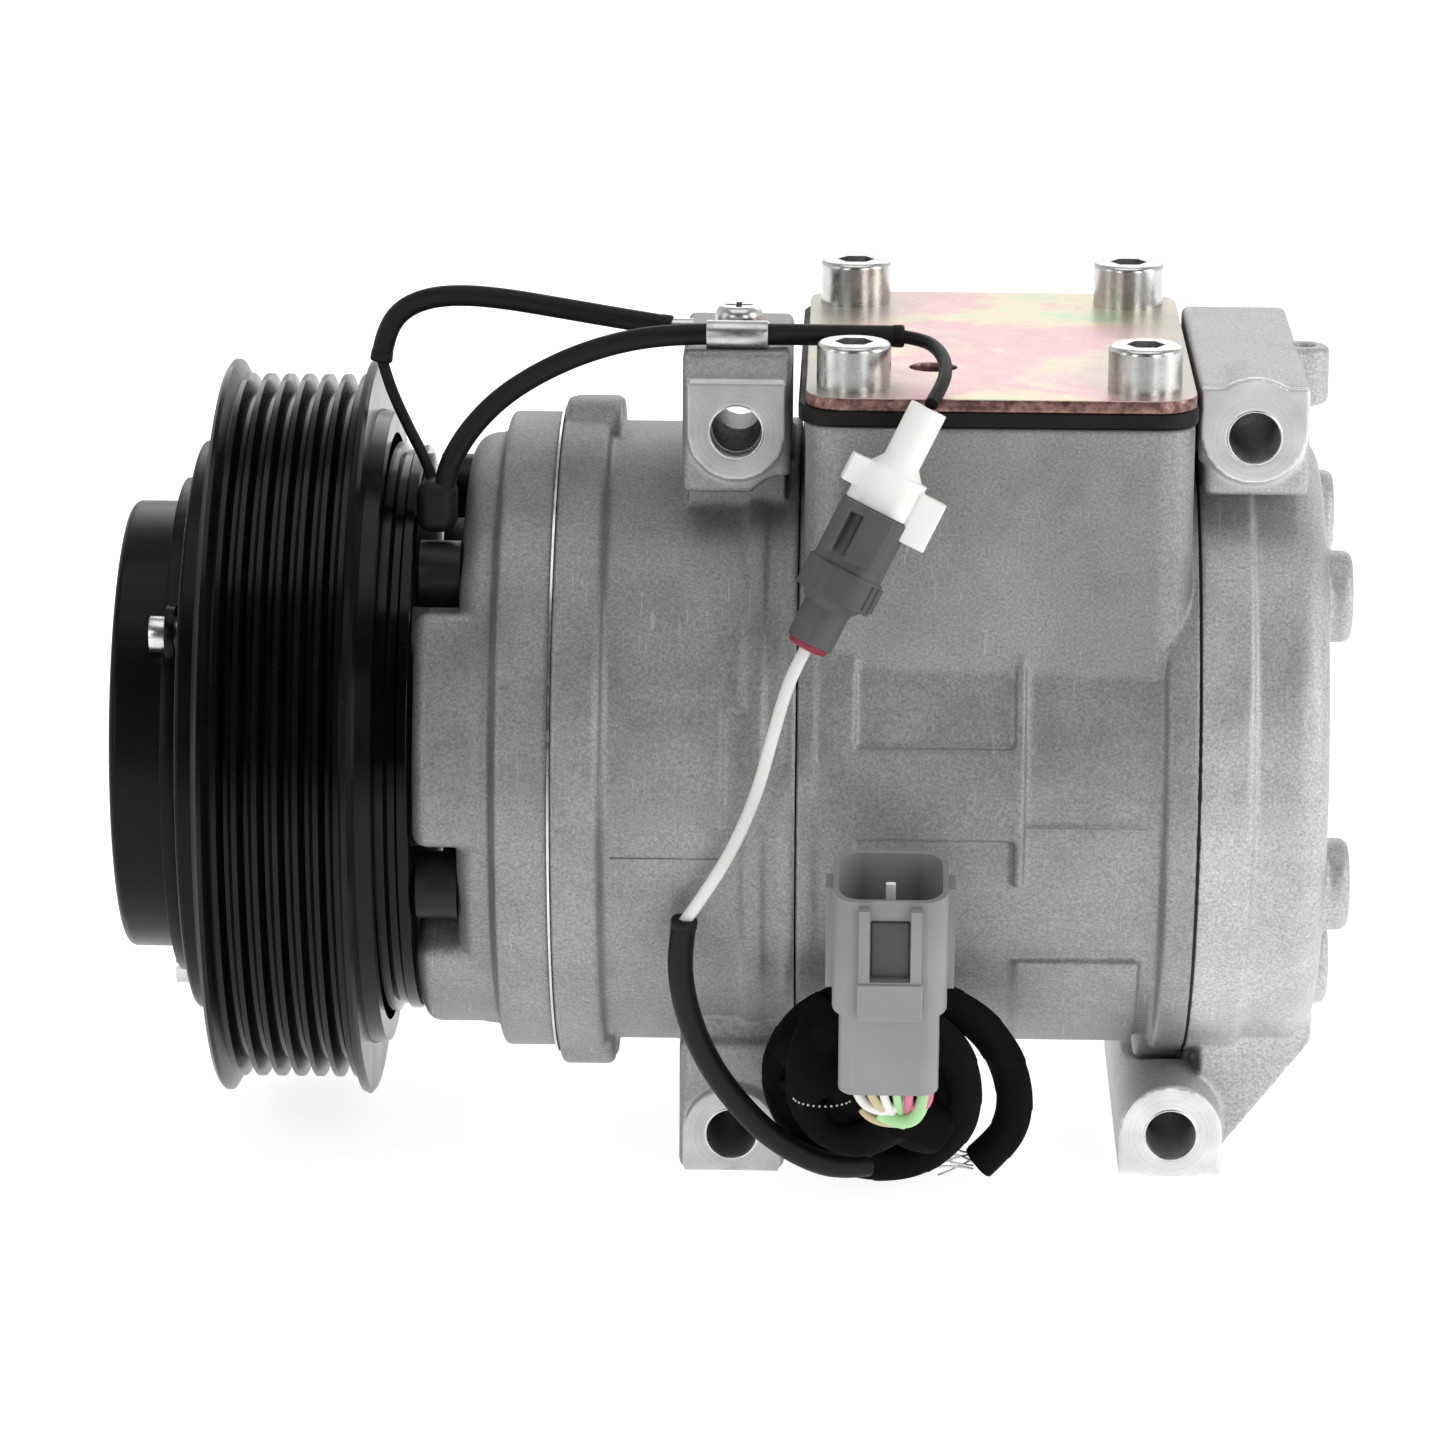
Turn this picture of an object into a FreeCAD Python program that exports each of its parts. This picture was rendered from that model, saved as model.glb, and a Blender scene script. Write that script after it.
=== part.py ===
"""Swash-plate air-conditioning compressor with an electromagnetic clutch.

Millimetres. Most pieces are drawn in shaft coordinates: x runs along the shaft from the
front face of the clutch drum, and y and z are measured from the shaft's axis. Every piece
is then placed so that the model's origin is the middle of its underside: +X points from
the clutch to the rear housing, -Y to the side with the wiring, and +Z up.
Angles round the shaft are measured from -Y towards +Z.
"""
import FreeCAD, Part
import math
import os
import re
import Sketcher

DOC = FreeCAD.newDocument("compressor")
SHEET = DOC.addObject("Spreadsheet::Sheet", "Sizes")
Vec = FreeCAD.Vector

SIZES = {
    "overall_length": 220.6, "axis_height": 72.4,
    # clutch hub
    "drum_radius": 41, "drum_wall": 2.5, "drum_depth": 9.7, "drum_lip": 4.2, "lip_thick": 1.8,
    "hub_radius": 22, "hub_front": 2.6, "hub_back": 9.0, "sleeve_radius": 11, "sleeve_back": 17.2,
    "spline_radius": 7, "recess_radius": 11, "recess_back": 6.4,
    "damper_gap": 0.3, "damper_back": 8.6,
    "spider_radius": 45.3, "spider_back": 12.3, "spider_bore": 34, "lobe_radius": 5.2,
    "rivet_circle": 46.3, "rivet_radius": 3.2, "rivet_head": 2.9, "rivet_angle": 35,
    "rivet_room": 0.1,
    "armature_front": 12.9, "armature_back": 16.3, "armature_radius": 52.2, "armature_bore": 30,
    "nut_width": 13, "nut_front": 1.6, "stud_radius": 4,
    # pulley and its bearing
    "air_gap": 0.55, "pulley_back": 45.3, "flange_radius": 67.2, "crest_radius": 64.6,
    "groove_depth": 3.2, "groove_pitch": 3.56, "first_crest": 21.2, "crest_flat": 0.45,
    "root_flat": 0.35, "rim_back": 48, "rim_radius": 58.4, "channel_radius": 54,
    "channel_front": 21.5, "barrel_radius": 33, "barrel_back": 44, "pulley_bore": 26,
    "bearing_front": 20, "bearing_back": 40, "nose_radius": 17.5, "inner_race": 20,
    "outer_race": 23.6, "ball_radius": 2.9, "balls_per_row": 18, "row_offset": 5,
    # coil
    "coil_front": 23.5, "coil_radius": 52.3, "coil_wall": 3.3, "coil_inner": 34.5,
    "coil_plate_front": 49.8, "coil_plate_back": 54.4, "seat_radius": 21.9, "clamp_back": 61.6,
    "clamp_outer_side": 31.5, "clamp_inner_side": 23.0, "clamp_low": 43.4, "clamp_top": 52.6,
    "clamp_round": 2.6,
    # front housing
    "nose_front": 18, "pad_front": 54.9, "face_front": 62.5, "front_radius": 54,
    "step_front": 68.6, "ring_radius": 58.2, "gasket_front": 79.0, "gasket_thick": 0.4,
    "plate_recess": 3.4, "plate_radius": 52, "shaft_tunnel": 14, "tunnel_front": 46,
    "nose_bore": 10, "cavity_outer": 41, "cavity_inner": 24, "pad_half_angle": 23.5,
    # cylinders
    "body_radius": 56.7, "collar_radius": 59.3, "collar_back": 88.2, "band_front": 112.7,
    "mid_seam": 122.4, "seam_gap": 0.2, "rear_body_radius": 55.9, "rear_collar_front": 186.9,
    "rear_seam": 192.9, "bore_radius": 16, "bore_circle": 33.5, "chamber_radius": 51.5,
    "chamber_half": 26, "swash_centre": 136.1, "hub_boss_radius": 16.8,
    # rear housing
    "rear_ring_back": 202.2, "rear_ring_radius": 57.6, "rear_radius": 56.2, "rear_face": 216.1,
    "boss_radius": 8.2, "boss_circle": 43.5,
    # long bolts
    "bolt_circle": 47, "bolt_radius": 3.2, "bolt_hole": 3.4, "bolt_head": 6,
    "bolt_phase": 50, "bolt_front": 55.2, "bolt_back": 217.5,
    # shaft, swash plate and pistons
    "shaft_radius": 8, "journal_radius": 9.5, "swash_radius": 41, "swash_thick": 6.2,
    "swash_hub": 15, "stroke": 20, "piston_clearance": 0.08, "piston_length": 92.4,
    "piston_bridge": 43, "head_length": 15, "shoe_length": 5, "shoe_radius": 6.5,
    # mounting ears
    "ear_hole": 4.5, "ear_front": 38, "ear_width": 18.4, "ear_round": 1.2,
    "top_ear_x": 111.3, "top_ear_z": 64, "top_ear_top": 78.2, "top_ear_bottom": 52.7, "top_face_top": 72.9,
    "rear_ear_x": 202.1, "rear_ear_left": 193.5, "rear_ear_right": 211.8,
    "rear_ear_bottom": 53.3, "rear_face_half": 9.5,
    "foot_x": 111.3, "foot_z": -65.4, "rear_foot_x": 190.5, "rear_foot_z": -64.6,
    # port pad, cover plate and screws
    "pad_left": 123.5, "pad_right": 191.4, "pad_side": 50, "pad_top": 67.5, "pad_corner": 7,
    "seal_thick": 3, "cover_thick": 2.3, "cover_left": 123.4, "cover_right": 191.6,
    "screw_left": 131.8, "screw_right": 182.6, "screw_side": 39.6, "screw_head": 6.5,
    "screw_height": 8, "screw_radius": 4, "socket_width": 6, "cover_hole_x": 145.8,
    "cover_hole_y": -21.8, "cover_hole": 4.2,
    # clip on the top ear
    "clip_width": 10.8, "clip_band": 0.5, "clip_y": -34, "clip_z": 80.7, "clip_screw_y": -21,
    "tag_thick": 0.8, "clip_gap": 0.05,
    # cords
    "ground_wire_dia": 2.0, "ground_sleeve_dia": 3.8, "coil_sleeve_dia": 3.8, "cable_dia": 2.4,
    "white_wire_dia": 2.2, "lead_sleeve_dia": 4.5, "loom_dia": 6.6, "signal_dia": 1.6,
}


def fill_sheet():
    for row, (alias, number) in enumerate(SIZES.items(), start=1):
        SHEET.set(f"A{row}", alias)
        SHEET.set(f"B{row}", str(number))
        SHEET.setAlias(f"B{row}", alias)
    DOC.recompute()


def size(alias):
    return float(SHEET.get(alias))


def formula(text):
    """A formula in the sheet's aliases, written the way the expression engine wants it."""
    return re.sub(r"[a-z][a-z_0-9]*",
                  lambda word: "Sizes." + word.group() if word.group() in SIZES else word.group(),
                  str(text))


def bind(thing, **formulas):
    for name, text in formulas.items():
        thing.setExpression(name.replace("__", "."), formula(text))


def unit(angle):
    """The direction that an angle round the shaft points in."""
    turn = math.radians(angle)
    return Vec(0, -math.cos(turn), math.sin(turn))


# ---------------------------------------------------------------- building blocks

def primitive(kind, name):
    return DOC.addObject("Part::" + kind, name)


def block(name, x, y, z):
    """A box: x, y and z are each a pair of formulas, low and high."""
    box = primitive("Box", name)
    bind(box, Length=f"{x[1]} - ({x[0]})", Width=f"{y[1]} - ({y[0]})", Height=f"{z[1]} - ({z[0]})",
         Placement__Base__x=x[0], Placement__Base__y=y[0], Placement__Base__z=z[0])
    return box


def rod_x(name, radius, x, y="0", z="0"):
    """A cylinder along the shaft; x is a pair of formulas."""
    rod = primitive("Cylinder", name)
    rod.Placement.Rotation = FreeCAD.Rotation(Vec(0, 1, 0), 90)
    bind(rod, Radius=radius, Height=f"{x[1]} - ({x[0]})",
         Placement__Base__x=x[0], Placement__Base__y=y, Placement__Base__z=z)
    return rod


def rod_y(name, radius, x, y, z):
    rod = primitive("Cylinder", name)
    rod.Placement.Rotation = FreeCAD.Rotation(Vec(1, 0, 0), -90)
    bind(rod, Radius=radius, Height=f"{y[1]} - ({y[0]})",
         Placement__Base__x=x, Placement__Base__y=y[0], Placement__Base__z=z)
    return rod


def rod_z(name, radius, x, y, z):
    rod = primitive("Cylinder", name)
    bind(rod, Radius=radius, Height=f"{z[1]} - ({z[0]})",
         Placement__Base__x=x, Placement__Base__y=y, Placement__Base__z=z[0])
    return rod


def round_rods(name, radius, x, circle, angles):
    """Equal rods along the shaft, on a circle round it."""
    rods = []
    for number, angle in enumerate(angles, start=1):
        way = unit(angle)
        rods.append(rod_x(f"{name}{number}", radius, x, f"({circle}) * {way.y:.6f}",
                          f"({circle}) * {way.z:.6f}"))
    return rods


def wedge(name, radius, x, angles):
    """A slice of a cylinder along the shaft, between two angles round it."""
    rod = primitive("Cylinder", name)
    start = unit(angles[1])
    rod.Placement.Rotation = FreeCAD.Rotation(start, Vec(1, 0, 0).cross(start), Vec(1, 0, 0), "ZXY")
    rod.Angle = angles[1] - angles[0]
    bind(rod, Radius=radius, Height=f"{x[1]} - ({x[0]})", Placement__Base__x=x[0])
    return rod


def prism(name, sides, width, x):
    """A regular prism along the shaft, with its width across flats."""
    bar = primitive("Prism", name)
    bar.Polygon = sides
    bar.Placement.Rotation = FreeCAD.Rotation(Vec(0, 1, 0), 90)
    corner = 1 / math.cos(math.pi / sides) / 2
    bind(bar, Circumradius=f"{width} * {corner:.6f}", Height=f"{x[1]} - ({x[0]})",
         Placement__Base__x=x[0])
    return bar


def fuse(name, parts):
    joined = primitive("MultiFuse", name)
    joined.Shapes = parts
    return joined


def cut(name, base, tools):
    result = primitive("Cut", name)
    result.Base = base
    result.Tool = tools[0] if len(tools) == 1 else fuse(name + "_tools", tools)
    return result


def common(name, first, second):
    result = primitive("Common", name)
    result.Base = first
    result.Tool = second
    return result


def group(name, parts):
    """Separate solids that share one node."""
    pack = primitive("Compound", name)
    pack.Links = parts
    return pack


def rounded(name, base, radius, wanted=lambda edge: True):
    """Fillet the edges of a piece that the test picks out."""
    DOC.recompute()
    fillet = primitive("Fillet", name)
    fillet.Base = base
    fillet.Edges = [(number, radius, radius)
                    for number, edge in enumerate(base.Shape.Edges, start=1) if wanted(edge)]
    return fillet


def plane_of(body, role):
    return next(item for item in body.Origin.OriginFeatures if item.Role == role)


def outline_sketch(body, name, role, points):
    """A closed polygon whose corners are held at formulas from the origin."""
    sketch = body.newObject("Sketcher::SketchObject", name)
    sketch.AttachmentSupport = [(plane_of(body, role), "")]
    sketch.MapMode = "FlatFace"
    count = len(points)
    corners = [Vec(10 + 40 * math.cos(2 * math.pi * i / count),
                   60 + 40 * math.sin(2 * math.pi * i / count), 0) for i in range(count)]
    for i in range(count):
        sketch.addGeometry(Part.LineSegment(corners[i], corners[(i + 1) % count]), False)
    for i in range(count):
        sketch.addConstraint(Sketcher.Constraint("Coincident", i, 2, (i + 1) % count, 1))
    for i, (across, up) in enumerate(points):
        for kind, text in (("DistanceX", across), ("DistanceY", up)):
            place = corners[i].x if kind == "DistanceX" else corners[i].y
            number = sketch.addConstraint(Sketcher.Constraint(kind, -1, 1, i, 1, place))
            sketch.setExpression(f"Constraints[{number}]", formula(text))
    return sketch


def turned(name, points, rounds=()):
    """A piece turned about the shaft's axis from (x, radius) corners.

    rounds lists (corner numbers, radius) for the fillets, in the order they are made.
    """
    body = DOC.addObject("PartDesign::Body", name)
    sketch = outline_sketch(body, name + "_outline", "XZ_Plane", points)
    turn = body.newObject("PartDesign::Revolution", name + "_turn")
    turn.Profile = sketch
    turn.ReferenceAxis = (sketch, ["H_Axis"])
    turn.Angle = 360
    DOC.recompute()
    corners = [sketch.Geometry[i].StartPoint for i in range(len(points))]
    last = turn
    for step, (chosen, radius) in enumerate(rounds):
        names = [f"Edge{number}" for number, edge in enumerate(last.Shape.Edges, start=1)
                 if any(on_circle(edge, corners[i]) for i in chosen)]
        fillet = body.newObject("PartDesign::Fillet", f"{name}_round{step}")
        fillet.Base = (last, names)
        fillet.Radius = radius
        DOC.recompute()
        last = fillet
    body.Tip = last
    return body


def on_circle(edge, corner):
    if not isinstance(edge.Curve, Part.Circle):
        return False
    return abs(edge.Curve.Radius - corner.y) < 1e-4 and abs(edge.Curve.Center.x - corner.x) < 1e-4


def extruded(name, points, y):
    """A plate drawn as (x, z) corners and extruded along y, between two formulas."""
    body = DOC.addObject("PartDesign::Body", name)
    sketch = outline_sketch(body, name + "_outline", "XZ_Plane", points)
    pad = body.newObject("PartDesign::Pad", name + "_pad")
    pad.Profile = sketch
    bind(pad, Length=f"{y[1]} - ({y[0]})")
    bind(body, Placement__Base__y=y[1])
    return body


NODES = []


def keep(label, piece, turn=0.0):
    """Name a finished piece, place it in the model's frame and list it for export."""
    piece.Label = label
    piece.Placement.Rotation = FreeCAD.Rotation(Vec(1, 0, 0), -turn)
    bind(piece, Placement__Base__x="-overall_length / 2", Placement__Base__z="axis_height")
    NODES.append(piece)


# ---------------------------------------------------------------- clutch

def make_hub():
    wall = "drum_radius - drum_wall"
    drum = turned("drum", [
        ("0", "drum_radius - drum_lip"), ("0", "drum_radius"), ("drum_depth", "drum_radius"),
        ("drum_depth", wall), ("lip_thick", wall), ("lip_thick", "drum_radius - drum_lip")],
        [([1], 1.4), ([0, 5], 0.5)])
    keep("hub_drum", drum)
    hub = turned("hub", [
        ("hub_front", "recess_radius"), ("hub_front", "hub_radius"), ("hub_back", "hub_radius"),
        ("hub_back", "sleeve_radius"), ("sleeve_back", "sleeve_radius"),
        ("sleeve_back", "spline_radius"), ("recess_back", "spline_radius"),
        ("recess_back", "recess_radius")], [([1], 1.0)])
    keep("inner_hub", hub)
    damper = turned("damper", [
        ("hub_front + 0.6", "hub_radius"), ("lip_thick + 0.5", "hub_radius + 4"),
        ("lip_thick + 0.5", f"{wall} - 3"), ("hub_front + 0.6", f"{wall} - damper_gap"),
        ("damper_back", f"{wall} - damper_gap"), ("damper_back", "hub_radius")])
    keep("rubber_damper", damper)
    nut = cut("nut", prism("nut_hex", 6, "nut_width", ("nut_front", "recess_back")),
              [rod_x("nut_thread", "stud_radius + 0.02", ("nut_front - 1", "recess_back + 1"))])
    keep("shaft_nut", nut)
    shims = group("shims", [turned(f"shim{i}", [
        (f"sleeve_back + {0.05 + 0.6 * i}", "stud_radius + 4.2"),
        (f"sleeve_back + {0.05 + 0.6 * i}", "nose_bore - 0.6"),
        (f"sleeve_back + {0.55 + 0.6 * i}", "nose_bore - 0.6"),
        (f"sleeve_back + {0.55 + 0.6 * i}", "stud_radius + 4.2")]) for i in range(2)])
    keep("air_gap_shims", shims)


def make_armature():
    angles = [size("rivet_angle") + 120 * i for i in range(3)]
    plate = ("drum_depth", "spider_back")
    lobes = round_rods("lobe", "lobe_radius", ("drum_depth + 0.8", "spider_back"),
                       "rivet_circle - 0.9", angles)
    ring = fuse("spider_blank", [rod_x("spider_disc", "spider_radius", plate)] + lobes)
    holes = round_rods("spider_hole", "rivet_radius - 0.8", ("0", "20"), "rivet_circle - 0.7", angles)
    holes += round_rods("rivet_seat", "rivet_radius + rivet_room", ("0", "drum_depth + 0.8"),
                        "rivet_circle - 0.7", angles)
    spider = cut("spider", ring, [rod_x("spider_open", "spider_bore", ("0", "20"))] + holes)
    keep("spider_plate", spider)
    disc = turned("armature_disc", [
        ("armature_front", "armature_bore"), ("armature_front", "armature_radius"),
        ("armature_back", "armature_radius"), ("armature_back", "armature_bore")], [([1], 0.8)])
    holes = round_rods("armature_hole", "rivet_radius - 0.8", ("0", "20"), "rivet_circle - 0.7", angles)
    slots = [wedge(f"slot{i}", "armature_bore + 12", ("0", "20"), (60 * i + 8, 60 * i + 50))
             for i in range(6)]
    core = rod_x("slot_core", "armature_bore + 10", ("0", "20"))
    keep("armature_plate", cut("armature", disc, holes + [cut("slots", fuse("slot_fan", slots), [core])]))
    heads = round_rods("rivet_top", "rivet_radius", ("drum_depth + 0.8 - rivet_head", "drum_depth + 0.8"),
                       "rivet_circle - 0.7", angles)
    stems = round_rods("rivet_stem", "rivet_radius - 0.8", ("drum_depth + 0.8", "armature_back - 0.6"),
                       "rivet_circle - 0.7", angles)
    collars = round_rods("rivet_collar", "rivet_radius", ("spider_back", "armature_front"),
                         "rivet_circle - 0.7", angles)
    rivets = [fuse(f"rivet{i}", [heads[i], stems[i], collars[i]]) for i in range(3)]
    keep("armature_rivets", group("rivets", rivets))


def groove_outline():
    """The belt face: six V grooves between two flanges."""
    points = []
    for i in range(7):
        crest = f"first_crest + {i} * groove_pitch"
        points += [(f"{crest} - crest_flat", "crest_radius"), (f"{crest} + crest_flat", "crest_radius")]
        if i < 6:
            root = f"{crest} + groove_pitch / 2"
            points += [(f"{root} - root_flat", "crest_radius - groove_depth"),
                       (f"{root} + root_flat", "crest_radius - groove_depth")]
    return points


def make_pulley():
    face = "armature_back + air_gap"
    outline = [(face, "pulley_bore - 2"), (face, "armature_radius + 8.6"),
               ("17.9", "armature_radius + 9.6"), ("17.9", "flange_radius - 0.7"),
               ("18.5", "flange_radius"), ("19.3", "flange_radius")]
    outline += groove_outline()
    outline += [("pulley_back - 1.6", "flange_radius"), ("pulley_back - 0.6", "flange_radius + 0.4"),
                ("pulley_back", "flange_radius - 0.4"), ("pulley_back", "rim_radius"),
                ("rim_back", "rim_radius - 0.6"), ("rim_back", "channel_radius"),
                ("channel_front", "channel_radius"), ("channel_front", "barrel_radius"),
                ("barrel_back", "barrel_radius"), ("barrel_back", "pulley_bore"),
                ("bearing_front", "pulley_bore"), ("bearing_front", "pulley_bore - 2")]
    blank = turned("pulley_blank", outline)
    slots = [wedge(f"face_slot{i}", "armature_bore + 16", ("10", "19.4"), (72 * i + 6, 72 * i + 62))
             for i in range(5)]
    core = rod_x("face_core", "armature_bore + 14", ("9", "21"))
    keep("pulley", cut("pulley_cut", blank, [cut("face_slots", fuse("face_fan", slots), [core])]))


def make_bearing():
    span = ("bearing_front", "bearing_back")
    middle = "(inner_race + outer_race) / 2"
    rows = ["(bearing_front + bearing_back) / 2 - row_offset",
            "(bearing_front + bearing_back) / 2 + row_offset"]
    races = []
    for i, row in enumerate(rows):
        torus = primitive("Torus", f"raceway{i}")
        torus.Placement.Rotation = FreeCAD.Rotation(Vec(0, 1, 0), 90)
        bind(torus, Radius1=middle, Radius2="ball_radius + 0.1", Placement__Base__x=row)
        races.append(torus)
    races_outer = [DOC.copyObject(torus) for torus in races]
    outer = turned("outer_blank", [(span[0], "outer_race"), (span[0], "pulley_bore"),
                                   (span[1], "pulley_bore"), (span[1], "outer_race")], [([1, 2], 0.8)])
    keep("bearing_outer_ring", cut("outer_ring", outer, races_outer))
    inner = turned("inner_blank", [(span[0], "nose_radius"), (span[0], "inner_race"),
                                   (span[1], "inner_race"), (span[1], "nose_radius")])
    keep("bearing_inner_ring", cut("inner_ring", inner, races))
    balls = []
    for i, row in enumerate(rows):
        for step in range(int(size("balls_per_row"))):
            way = unit(step * 360 / size("balls_per_row"))
            ball = primitive("Sphere", f"ball{i}_{step}")
            bind(ball, Radius="ball_radius", Placement__Base__x=row,
                 Placement__Base__y=f"{middle} * {way.y:.6f}", Placement__Base__z=f"{middle} * {way.z:.6f}")
            balls.append(ball)
    keep("bearing_balls", group("balls", balls))


def snap_ring(label, x, inner, outer):
    ring = turned(label + "_ring", [(x[0], inner), (x[0], outer), (x[1], outer), (x[1], inner)])
    gap = block(label + "_gap", (f"{x[0]} - 1", f"{x[1]} + 1"), ("-4", "4"), ("0", "60"))
    keep(label, cut(label + "_cut", ring, [gap]))


def make_coil():
    inside = "coil_radius - coil_wall"
    barrel = "coil_inner + coil_wall - 0.2"
    housing = turned("coil_shell", [
        ("coil_front", inside), ("coil_front", "coil_radius"), ("coil_plate_front", "coil_radius"),
        ("coil_plate_front + 0.7", "coil_radius - 1.3"), ("coil_plate_front + 1.9", "coil_radius - 1.3"),
        ("coil_plate_front + 2.4", "coil_radius - 0.5"), ("coil_plate_back", "coil_radius - 0.5"),
        ("coil_plate_back", "seat_radius"), ("coil_plate_front", "seat_radius"),
        ("coil_plate_front", "coil_inner"), ("coil_front", "coil_inner"), ("coil_front", barrel),
        ("coil_plate_front - 3.2", barrel), ("coil_plate_front - 3.2", inside)], [([1, 6], 0.8)])
    keep("coil_housing", housing)
    winding = turned("coil_pack", [
        ("coil_front + 1", f"{barrel}"), ("coil_front + 1", inside),
        ("coil_plate_front - 3.2", inside), ("coil_plate_front - 3.2", barrel)])
    keep("coil_winding", winding)
    snap_ring("coil_snap_ring", ("coil_plate_front - 1.7", "coil_plate_front"), "seat_radius - 1",
              "seat_radius + 2.6")
    snap_ring("bearing_snap_ring", ("bearing_front - 1.5", "bearing_front"), "nose_radius - 1",
              "nose_radius + 1.6")
    lump = block("clamp_block", ("coil_plate_back", "clamp_back"), ("-clamp_outer_side", "-clamp_inner_side"),
                 ("clamp_low", "clamp_top"))
    keep("coil_lead_clamp", rounded("clamp", lump, size("clamp_round")))


# ---------------------------------------------------------------- castings

BOLT_ANGLES = [SIZES["bolt_phase"] - 72 * i for i in range(5)]
BORE_ANGLES = [angle - 36 for angle in BOLT_ANGLES]


def make_front_housing():
    seat = "gasket_front - plate_recess"
    blank = turned("front_blank", [
        ("nose_front", "nose_bore"), ("nose_front", "nose_radius"), ("bearing_back", "nose_radius"),
        ("bearing_back", "seat_radius - 2"), ("bearing_back + 2", "seat_radius"),
        ("face_front", "seat_radius"), ("face_front", "front_radius"), ("step_front", "front_radius + 0.4"),
        ("step_front + 1", "ring_radius"), ("gasket_front", "ring_radius"),
        ("gasket_front", "plate_radius"), (seat, "plate_radius"), (seat, "cavity_outer"),
        ("face_front + 4.5", "cavity_outer - 3"), ("face_front + 4.5", "cavity_inner"),
        (seat, "cavity_inner"), (seat, "shaft_tunnel"), ("tunnel_front", "shaft_tunnel"),
        ("tunnel_front", "nose_bore")], [([6], 4.5), ([8], 1.0), ([1], 0.8)])
    pads = []
    for number, angle in enumerate(BORE_ANGLES[:4], start=1):
        half = size("pad_half_angle")
        slice_ = wedge(f"pad_slice{number}", "front_radius", ("pad_front", "step_front - 1"),
                       (angle - half, angle + half))
        ring = cut(f"pad_ring{number}", slice_, [rod_x(f"pad_core{number}", "front_radius - 17",
                                                       ("pad_front - 1", "step_front"))])
        pads.append(rounded(f"pad_round{number}", ring, 2.6))
    grooves = [turned("nose_groove", [("bearing_front - 1.5", "nose_radius - 1"),
                                      ("bearing_front - 1.5", "nose_radius + 1"),
                                      ("bearing_front", "nose_radius + 1"),
                                      ("bearing_front", "nose_radius - 1")]),
               turned("seat_groove", [("coil_plate_front - 1.7", "seat_radius - 1"),
                                      ("coil_plate_front - 1.7", "seat_radius + 1"),
                                      ("coil_plate_front", "seat_radius + 1"),
                                      ("coil_plate_front", "seat_radius - 1")])]
    holes = round_rods("front_hole", "bolt_hole", ("face_front - 1", "gasket_front + 1"), "bolt_circle",
                       BOLT_ANGLES)
    spots = round_rods("front_spot", "bolt_head + 1.2", ("pad_front - 2", "face_front"), "bolt_circle",
                       BOLT_ANGLES)
    joined = fuse("front_cast", [blank] + pads)
    keep("front_housing", cut("front_case", joined, grooves + holes + spots))


def make_valve_plate(label, x):
    holes = round_rods(label + "_bolt", "bolt_hole", (f"{x[0]} - 1", f"{x[1]} + 1"), "bolt_circle",
                       BOLT_ANGLES)
    ports = round_rods(label + "_port", "3", (f"{x[0]} - 1", f"{x[1]} + 1"), "bore_circle", BORE_ANGLES)
    disc = turned(label + "_disc", [(x[0], "shaft_tunnel"), (x[0], "plate_radius - 0.1"),
                                    (x[1], "plate_radius - 0.1"), (x[1], "shaft_tunnel")])
    keep(label, cut(label + "_cut", disc, holes + ports))


def flat_ring(label, x, inner, outer):
    ring = turned(label + "_flat", [(x[0], inner), (x[0], outer), (x[1], outer), (x[1], inner)])
    keep(label, ring)


def cylinder_holes(name, span, bore_span, hub_span):
    """Bores, bolt holes, swash chamber and shaft hole of one cylinder block."""
    bores = round_rods(name + "_bore", "bore_radius", bore_span, "bore_circle", BORE_ANGLES)
    bolts = round_rods(name + "_bolt", "bolt_hole", span, "bolt_circle", BOLT_ANGLES)
    shaft = [rod_x(name + "_shaft", "journal_radius + 3", span)]
    chamber = rod_x(name + "_chamber", "chamber_radius", ("swash_centre - chamber_half",
                                                          "swash_centre + chamber_half"))
    boss = rod_x(name + "_boss", "hub_boss_radius", hub_span)
    return bores + bolts + shaft + [cut(name + "_room", chamber, [boss])]


def ear(name, x, z, y, top, bottom, face):
    """A mounting ear along y: a cast block, and a machined face with a round end."""
    half = "ear_width / 2"
    cast = block(name + "_cast", (f"{x} - {half} - 0.3", f"{x} + {half} + 0.3"),
                 (f"-ear_front + 1.2", y), (bottom, top))
    cast = rounded(name + "_soft", cast, size("ear_round"))
    drum = rod_y(name + "_drum", f"{half} - 0.5", x, ("-ear_front", y), z)
    square = block(name + "_square", (f"{x} - {half} + 0.5", f"{x} + {half} - 0.5"),
                   ("-ear_front", "0"), face)
    return [cast, drum, square]


def ear_hole(name, x, z):
    return rod_y(name + "_hole", "ear_hole", x, ("-60", "60"), z)


def underside(name, x):
    """What is milled off below the plane that the feet stand on."""
    return block(name + "_underside", (f"{x} - 20", f"{x} + 20"), ("-60", "60"),
                 ("-axis_height - 5", "-axis_height"))


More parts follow.
